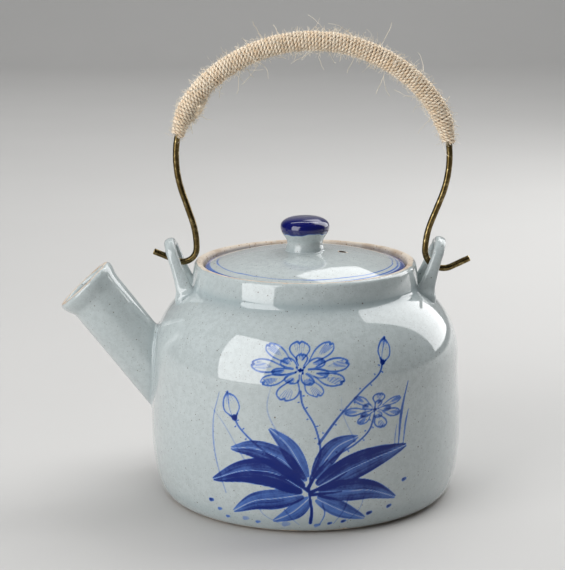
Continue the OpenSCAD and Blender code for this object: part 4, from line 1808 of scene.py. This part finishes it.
@dataclass
class BailWire:
    """The hand-bent brass wire with its two hooks."""

    line: BailLine
    radius: float = 1.38
    around: int = 28
    spacing: float = 0.9
    cut_end: tuple[Point2, ...] = ((0.0, 0.8), (0.12, 0.95), (0.32, 1.0))
    """Distance in from the end, and share of the radius, of each ring of the cut end."""

    def build(self, brass: Finish) -> Piece:
        """Builds the wire.

        Args:
            brass: Its finish.

        Returns:
            The wire.
        """
        centre, tangent, along = self.line.whole(self.spacing)
        last = len(centre) - 1
        order = ([(0, shift, share) for shift, share in self.cut_end]
                 + [(i, 0.0, 1.0) for i in range(1, last)]
                 + [(last, -shift, share) for shift, share in reversed(self.cut_end)])
        rings = []
        for i, shift, share in order:
            dents = 1 + 0.012 * math.sin(along[i] * 0.9) + 0.008 * math.sin(along[i] * 2.3 + 1)
            rings.append(hoop(centre[i] + shift * tangent[i], self.radius * share * dents, ACROSS,
                              np.cross(tangent[i], ACROSS), turns(self.around)))
        piece = Skin.build("brass_wire", np.array(rings), brass)
        bright = np.zeros((len(rings), self.around))
        bright[:2] = bright[-2:] = 1.0
        Skin.mark(piece, Mark.BARE, bright.ravel())
        return piece


class Weave(Tree):
    """A geometry node tree for what winds and bristles."""

    def __init__(self, name: str, inputs: dict[str, float | int]) -> None:
        """Starts a tree.

        Args:
            name: Name of the tree and of the piece that it makes.
            inputs: The tree's named inputs and their values.
        """
        super().__init__(bpy.data.node_groups.new(name, "GeometryNodeTree"))
        self.name = name
        face = self.tree.interface
        for way in ("INPUT", "OUTPUT"):
            face.new_socket("Geometry", in_out=way, socket_type="NodeSocketGeometry")
        self.values = {}
        for key, value in inputs.items():
            kind = "NodeSocketInt" if isinstance(value, int) else "NodeSocketFloat"
            self.values[face.new_socket(key, in_out="INPUT", socket_type=kind).identifier] = value
        self.inputs = self.node("NodeGroupInput").outputs

    def step(self, kind: str, inputs: dict[str | int, object] | None = None,
             **settings: object) -> Socket:
        """Adds a node, named without its GeometryNode, and gives its first output."""
        return self.node("GeometryNode" + kind, inputs, **settings).outputs[0]

    def vector(self, operation: str, a: Socket, b: object) -> Socket:
        """One step of vector arithmetic, in which b is a vector or the factor of SCALE."""
        key = "Scale" if operation == "SCALE" else 1
        return self.node("ShaderNodeVectorMath", {0: a, key: b}, operation=operation).outputs[0]

    def share(self) -> Socket:
        """How far along its spline a point lies, from 0 to 1."""
        return self.node("GeometryNodeSplineParameter").outputs["Factor"]

    def keep(self, geometry: Socket, mark: Mark, value: Socket) -> Socket:
        """Stores a value on the points of a geometry."""
        return self.step("StoreNamedAttribute", {"Geometry": geometry, "Name": mark.value,
                                                 "Value": value}, data_type="FLOAT", domain="POINT")

    def make(self, host: Piece, geometry: Socket, finish: Finish) -> Piece:
        """Ends the tree, runs it on an object and keeps the result as a plain mesh.

        Args:
            host: The object that feeds the tree.
            geometry: The tree's last geometry.
            finish: Material of the result.

        Returns:
            The new piece.
        """
        smooth = self.step("SetShadeSmooth", {"Geometry": geometry})
        real = self.step("RealizeInstances", {0: smooth})
        dressed = self.step("SetMaterial", {"Geometry": real, "Material": finish})
        self.node("NodeGroupOutput", {0: dressed})
        modifier = host.modifiers.new(self.name, "NODES")
        modifier.node_group = self.tree
        for identifier, value in self.values.items():
            modifier[identifier] = value
        depsgraph = bpy.context.evaluated_depsgraph_get()
        mesh = bpy.data.meshes.new_from_object(host.evaluated_get(depsgraph))
        mesh.name = self.name
        host.modifiers.remove(modifier)
        bpy.data.node_groups.remove(self.tree)
        return add_object(self.name, mesh)


@dataclass(frozen=True)
class Fuzz:
    """Curved fibres that stand off the twine."""

    name: str
    count: int
    length: float
    """Length of a middling fibre in millimetres."""
    thick: float
    """Radius of a fibre in millimetres."""
    steps: int
    """Segments of a fibre."""
    seed: int
    bow: tuple[tuple[str, Point2], ...] = (
        ("Start", (0.0, -0.03)), ("Middle", (0.05, 0.62)), ("End", (0.62, 0.9)))
    """The bend of a fibre, as shares of its length sideways and outwards."""
    tilt: Point3 = (0.75, 0.75, 3.14159)
    """The most that a fibre is turned about each axis, in radians."""
    sizes: Point2 = (0.45, 1.6)
    """Smallest and largest length, as shares of the middling one."""
    tip: float = 0.35
    """Thickness of the tip against the root."""
    swirl: float = 0.35
    """How far the fibres are swirled, as a share of their length."""
    swirls: float = 150.0
    """Waves of the swirl per metre."""

    def grow(self, host: Piece, fibre: Finish) -> Piece:
        """Grows the fibres.

        Args:
            host: The twine that they stand on.
            fibre: Their finish.

        Returns:
            The fibres.
        """
        area = sum(p.area for p in host.data.polygons)
        w = Weave(self.name, {"Density": self.count / area, "Length": self.length * MM,
                              "Thickness": self.thick * MM, "Segments": self.steps,
                              "Seed": self.seed})
        g = w.inputs
        dots = w.node("GeometryNodeDistributePointsOnFaces",
                      {"Mesh": g["Geometry"], "Density": g["Density"], "Seed": g["Seed"]},
                      distribute_method="RANDOM").outputs
        tilts = {0: tuple(-a for a in self.tilt), 1: self.tilt, "Seed": g["Seed"]}
        spin = w.node("FunctionNodeRandomValue", tilts, data_type="FLOAT_VECTOR").outputs[0]
        face = w.node("FunctionNodeRotateRotation", {0: dots["Rotation"], 1: spin},
                      rotation_space="LOCAL").outputs[0]
        sizes = {2: self.sizes[0], 3: self.sizes[1], "Seed": w.math("ADD", g["Seed"], 3.0)}
        size = w.node("FunctionNodeRandomValue", sizes, data_type="FLOAT").outputs[1]
        grown = w.step("InstanceOnPoints", {"Points": dots["Points"], "Instance": self.hair(w),
                                            "Rotation": face, "Scale": size})
        noise = {"Vector": w.step("InputPosition"), "Scale": self.swirls, "Detail": 1.0}
        swirl = w.node("ShaderNodeTexNoise", noise).outputs["Color"]
        middle = w.node("ShaderNodeCombineXYZ", {0: 0.5, 1: 0.5, 2: 0.5}).outputs[0]
        offset = w.vector("SCALE", w.vector("SUBTRACT", swirl, middle),
                          w.times(g["Length"], self.swirl))
        waved = w.step("SetPosition", {"Geometry": w.step("RealizeInstances", {0: grown}),
                                       "Offset": offset})
        return w.make(host, waved, fibre)

    def hair(self, w: Weave) -> Socket:
        """Adds one fibre to a tree.

        Args:
            w: The tree.

        Returns:
            The fibre's geometry.
        """
        g = w.inputs
        places = {key: w.node("ShaderNodeCombineXYZ", {"X": w.times(g["Length"], x),
                                                       "Z": w.times(g["Length"], z)}).outputs[0]
                  for key, (x, z) in self.bow}
        bow = w.step("CurveQuadraticBezier", {"Resolution": g["Segments"], **places})
        taper = w.ramp(w.share(), 0.0, 1.0, 1.0, self.tip, "LINEAR")
        thin = w.step("SetCurveRadius", {"Curve": bow, "Radius": taper})
        ring = w.step("CurvePrimitiveCircle", {"Resolution": 3, "Radius": g["Thickness"]},
                      mode="RADIUS")
        return w.step("CurveToMesh", {"Curve": thin, "Profile Curve": ring, "Fill Caps": True})


TWINE_FUZZ = Fuzz("twine_fuzz", count=5200, length=1.8, thick=0.05, steps=4, seed=5)
TUCK_FUZZ = Fuzz("tuck_fuzz", count=900, length=2.6, thick=0.06, steps=5, seed=17)
STRAY_FIBRES = Fuzz("stray_fibres", count=130, length=7.5, thick=0.085, steps=12, seed=11)


@dataclass
class Grip:
    """Two-ply twine wound turn by turn round the crown, with its tucked end and its fuzz."""

    line: BailLine
    strand: float = 0.80
    pitch: float = 1.48
    wound_r: float = 3.60
    end_r: float = 2.2
    steps: int = 54
    sides: int = 12
    lay: float = 3.5
    """Length over which the two plies turn once."""
    drift: float = 0.45
    """How unevenly the turns lie."""
    drifts: float = 0.73
    """Waves of the unevenness for each turn."""
    spacing: float = 0.8
    tuck_start: float = 7.0
    """Distance of the tucked end from the grip's end."""
    tuck_end: float = 24.0
    tuck_spacing: float = 0.5
    tuck_sides: int = 20
    tuck_in: float = 2.3
    """Distance of the tucked end from the line at its ends."""
    tuck_bulge: float = 1.7
    """How much farther in its middle lies."""

    def build(self, jute: Finish, fibre: Finish) -> list[Piece]:
        """Winds the grip and adds its fuzz.

        Args:
            jute: Finish of the twine.
            fibre: Finish of the stray fibres.

        Returns:
            The twine, its tucked end and their fuzz.
        """
        twine, tuck = self.wind(jute), self.tuck(jute)
        return [twine, tuck, TWINE_FUZZ.grow(twine, fibre), TUCK_FUZZ.grow(tuck, fibre),
                STRAY_FIBRES.grow(twine, fibre)]

    def tuck(self, jute: Finish) -> Piece:
        """The twine's end, tucked back under the grip near the spout side.

        Args:
            jute: Finish of the twine.

        Returns:
            The tucked end.
        """
        centre, tangent, along = self.line.whole(self.tuck_spacing)
        half = self.line.grip_half
        keep = np.nonzero((along > self.tuck_start - half) & (along < self.tuck_end - half))[0]
        a = turns(self.tuck_sides)
        rings = []
        for k, i in enumerate(keep):
            share = k / (len(keep) - 1)
            inward = np.cross(ACROSS, tangent[i])
            inward *= -np.sign(inward[2]) or 1.0
            bulge = math.sin(math.pi * share) ** 0.6
            size = 0.5 + 1.5 * bulge * (1 + 0.12 * math.sin(23 * share))
            radius = size * (1 + 0.2 * np.sin(3 * a + 20 * share))
            middle = (centre[i] + inward * (self.tuck_in + self.tuck_bulge * bulge)
                      + 0.5 * math.sin(9 * share) * ACROSS)
            rings.append(hoop(middle, radius[:, None], ACROSS, inward, a))
        piece = Skin.build("tucked_end", np.array(rings), jute)
        run = np.repeat(np.arange(len(keep)) * self.tuck_spacing, len(a))
        Skin.mark(piece, Mark.ALONG, run * MM)
        # The ply mark drives the painted shade in the tucked end's grooves.
        Skin.mark(piece, Mark.PLY, np.abs(np.cos(np.tile(a, len(keep)) * 1.5 + run * 1.4)))
        return piece

    def wind(self, jute: Finish) -> Piece:
        """Winds the strand round the line.

        Args:
            jute: Finish of the twine.

        Returns:
            The twine.
        """
        centre, _, along = self.line.whole(self.spacing)
        points = centre[np.abs(along) <= self.line.grip_half] * MM
        mesh = bpy.data.meshes.new("grip_line")
        mesh.from_pydata(list(points), [(i, i + 1) for i in range(len(points) - 1)], [])
        host = add_object("grip_line", mesh)
        length = 2 * self.line.grip_half
        count = round(length / self.pitch)
        w = Weave("wound_twine", {"Turns": float(count), "Wound Radius": self.wound_r * MM,
                                  "End Radius": self.end_r * MM, "Strand Radius": self.strand * MM,
                                  "Thinning": self.line.thinning / length, "Lay": self.lay * MM,
                                  "Points": count * self.steps, "Sides": self.sides})
        helix = self.helix(w)
        run = w.node("GeometryNodeSplineParameter").outputs["Length"]
        helix = w.keep(helix, Mark.ALONG, run)
        twist = w.times(w.math("DIVIDE", run, w.inputs["Lay"]), FULL_TURN)
        helix = w.step("SetCurveTilt", {"Curve": helix, "Tilt": twist})
        tube = w.step("CurveToMesh", {"Curve": helix, "Profile Curve": self.strands(w),
                                      "Fill Caps": True})
        twine = w.make(host, tube, jute)
        bpy.data.objects.remove(host)
        return twine

    def helix(self, w: Weave) -> Socket:
        """The line that the strand follows, with its drift and its thinner ends.

        Args:
            w: The tree, whose geometry is the line under the strand.

        Returns:
            The curve.
        """
        g, share = w.inputs, w.share()
        path = w.step("MeshToCurve", {0: g["Geometry"]})
        spot = w.node("GeometryNodeSampleCurve", {"Curves": path, "Factor": share}, mode="FACTOR",
                      use_all_curves=True).outputs
        turn = w.times(share, g["Turns"])
        drift = w.times(w.math("SUBTRACT", w.waves(turn, self.drifts), 0.5), self.drift * MM)
        from_end = w.math("DIVIDE", w.math("MINIMUM", share, w.math("SUBTRACT", 1.0, share)),
                          g["Thinning"])
        wound = w.ramp(from_end, 0.0, 1.0, g["End Radius"], g["Wound Radius"])
        radius = w.math("ADD", wound, drift)
        angle = w.times(turn, FULL_TURN)
        across = w.vector("CROSS_PRODUCT", spot["Tangent"], spot["Normal"])
        out = w.vector("SCALE", spot["Normal"], w.times(w.math("COSINE", angle), radius))
        aside = w.vector("SCALE", across, w.times(w.math("SINE", angle), radius))
        on = w.vector("SCALE", spot["Tangent"], w.times(drift, 0.8))
        place = w.vector("ADD", spot["Position"], w.vector("ADD", out, aside))
        fine = w.step("ResampleCurve", {"Curve": w.step("CurvePrimitiveLine"),
                                        "Count": g["Points"]})
        return w.step("SetPosition", {"Geometry": fine, "Position": w.vector("ADD", place, on)})

    @staticmethod
    def strands(w: Weave) -> Socket:
        """The two-lobed section of the twine, marked with its plies.

        Args:
            w: The tree.

        Returns:
            The section's curve.
        """
        lobe = w.math("ABSOLUTE", w.math("COSINE", w.times(w.share(), FULL_TURN)))
        squeeze = w.math("ADD", 0.7, w.times(lobe, 0.33))
        ring = w.step("CurvePrimitiveCircle", {"Resolution": w.inputs["Sides"],
                                               "Radius": w.inputs["Strand Radius"]}, mode="RADIUS")
        place = w.vector("SCALE", w.step("InputPosition"), squeeze)
        # The lobe mark drives the twine's painted shade in the grooves between its plies.
        return w.keep(w.step("SetPosition", {"Geometry": ring, "Position": place}), Mark.PLY, lobe)


# ------------ studio


@dataclass(frozen=True)
class Softbox:
    """A rectangular light, with places and sizes in metres."""

    name: str
    place: Point3
    aim: Point3
    """The point that it faces."""
    size: Point2
    power: float
    """Its power in watts."""
    roll: float = 0.0
    """Its turn about its own axis, in degrees."""
    mirrored: bool = True
    """Whether glossy surfaces mirror it."""

    def add(self) -> None:
        """Adds the light to the scene."""
        data = bpy.data.lights.new(self.name, "AREA")
        data.shape = "RECTANGLE"
        data.size, data.size_y = self.size
        data.energy = self.power
        light = add_object(self.name, data)
        light.location = self.place
        light.visible_glossy = self.mirrored
        facing = (Vector(self.aim) - Vector(self.place)).to_track_quat("-Z", "Y")
        roll = Quaternion((0, 0, 1), math.radians(self.roll))
        light.rotation_euler = (facing @ roll).to_euler()


@dataclass
class Studio:
    """Camera, soft lights and the plain floor."""

    tilt: float = 12.7
    """How far the camera looks down, in degrees."""
    roll: float = -0.35
    reach: float = 700.0
    """Distance of the camera from its aim, in millimetres."""
    aim: Point2 = (-10.0, 92.0)
    """Where it looks: right of the pot's axis and above its foot, in millimetres."""
    focal: float = 1580.0
    """Focal length in pixels of the frame."""
    frame_px: float = 570.0
    sensor: float = 36.0
    clip: Point2 = (0.05, 60.0)
    room: tuple[float, ...] = (0.82, 0.86, 0.90, 1.0)
    room_strength: float = 0.10
    softboxes: tuple[Softbox, ...] = (
        Softbox("window_left", (-0.545, -0.495, 0.385), (0, 0, 0.07), (0.52, 0.80), 5.5),
        Softbox("window_right", (0.75, 0.53, 0.68), (0, 0, 0.08), (0.74, 1.34), 9.6),
        Softbox("window_back", (0.254, 0.831, 0.873), (0, 0, 0.09), (0.45, 0.37), 1.0, -30.0),
        Softbox("overhead", (0.0, 0.45, 1.9), (0, 0, 0.05), (3.2, 2.6), 34.0, mirrored=False),
        Softbox("backdrop_wash", (0.0, 1.2, 2.2), (0, 2.6, 0.4), (2.4, 0.6), 22.0))
    floor_half: float = 9.0
    """Half its width and its reach to the front, in metres."""
    floor_columns: int = 8
    floor_rows: float = 1.0
    """Distance of its nearest rows, in metres."""
    sweep_start: float = 2.2
    """Where the floor starts to bend up, in metres."""
    sweep_r: float = 0.7
    sweep_steps: int = 24
    wall: tuple[float, ...] = (2.0, 4.0)
    """Heights of the backdrop's rows, in metres."""

    def camera(self) -> None:
        """Adds the camera."""
        e, r = math.radians(self.tilt), math.radians(self.roll)
        right, up = Vector((1, 0, 0)), Vector((0, math.sin(e), math.cos(e)))
        ahead = Vector((0, math.cos(e), -math.sin(e)))
        axes = Matrix((right * math.cos(r) + up * math.sin(r),
                       up * math.cos(r) - right * math.sin(r), -ahead))
        data = bpy.data.cameras.new("camera")
        data.sensor_width = self.sensor
        data.lens = self.focal / self.frame_px * self.sensor
        data.clip_start, data.clip_end = self.clip
        camera = add_object("camera", data)
        place = Vector((self.aim[0], 0, self.aim[1])) - ahead * self.reach
        camera.matrix_world = Matrix.Translation(place * MM) @ axes.transposed().to_4x4()
        bpy.context.scene.camera = camera

    def lights(self) -> None:
        """Adds the lights and the room's soft light."""
        world = bpy.data.worlds.new("room")
        bpy.context.scene.world = world
        bpy.context.scene.view_settings.view_transform = "Standard"
        world.use_nodes = True
        shade = world.node_tree.nodes["Background"]
        shade.inputs["Color"].default_value = self.room
        shade.inputs["Strength"].default_value = self.room_strength
        for softbox in self.softboxes:
            softbox.add()

    def floor(self, finish: Finish) -> None:
        """Adds the floor, which sweeps up into a backdrop.

        Args:
            finish: Its finish.
        """
        start, r = self.sweep_start, self.sweep_r
        line = [(y, 0.0) for y in (-self.floor_half, -self.floor_rows, self.floor_rows)]
        line += [(start + r * math.sin(a), r - r * math.cos(a))
                 for a in np.linspace(0, math.pi / 2, self.sweep_steps + 1)]
        line += [(start + r, height) for height in self.wall]
        row = self.floor_columns + 1
        across = np.linspace(-self.floor_half, self.floor_half, row)
        points = [(x, y, z) for y, z in line for x in across]
        faces = [(i * row + k, i * row + k + 1, (i + 1) * row + k + 1, (i + 1) * row + k)
                 for i in range(len(line) - 1) for k in range(self.floor_columns)]
        floor = Skin.smooth("studio_floor", points, faces, finish)


def main() -> None:
    """Builds every piece, dresses it and hands it to the frame."""
    logging.basicConfig(level=logging.INFO, format="%(name)s: %(message)s")
    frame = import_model()
    studio = Studio()
    studio.camera()
    studio.lights()
    studio.floor(PALE_FLOOR.material())

    glaze = CeladonGlaze().material()
    dip = CeladonGlaze(name="cobalt_dip", cobalt=(0.002, 0.004, 0.10), ink_dulls=0.15,
                       orange_peel=0.25).material()
    brass, jute, fibre = (f.material() for f in (AntiqueBrass(), JuteTwine(), STRAY_FIBRE))
    shape, line = PotShape(), BailLine()

    plan = [
        ([PotBody(shape, FlowerSpray()).build(glaze)], "pot", "glaze",
         ("pot_base", "pot_body", "pot_collar")),
        ([Spout(shape).build(glaze)], "pot", "glaze", ("spout",)),
        ([Ear(shape, -1).build(glaze)], "pot", "glaze", ("ear_spout_side",)),
        ([Ear(shape, 1).build(glaze)], "pot", "glaze", ("ear_far_side",)),
        ([Lid().build(glaze)], "lid", "glaze", ("lid",)),
        ([Knob().build(dip)], "lid", "cobalt", ("lid_knob",)),
        ([BailWire(line).build(brass)], "bail", "antique_brass", ("bail_wire",)),
        (Grip(line).build(jute, fibre), "bail", "jute", ("grip_twine",)),
    ]
    for pieces, body, slot, nodes in plan:
        for piece in pieces:
            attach(piece, body)
            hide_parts(*nodes)
            LOG.info("%s stands for %s: %d faces", piece.name, ", ".join(nodes),
                     len(piece.data.polygons))
    # The core under the grip gets a dark colour that paints shade into the gaps between the turns.
    core = frame["nodes"]["grip_underwrap"]
    gap_shade = GAP_SHADE_CORE.material()
    for holder in core.material_slots:
        holder.material = gap_shade
    LOG.info("dressed %s", core.name)


if __name__ == "__main__":
    main()
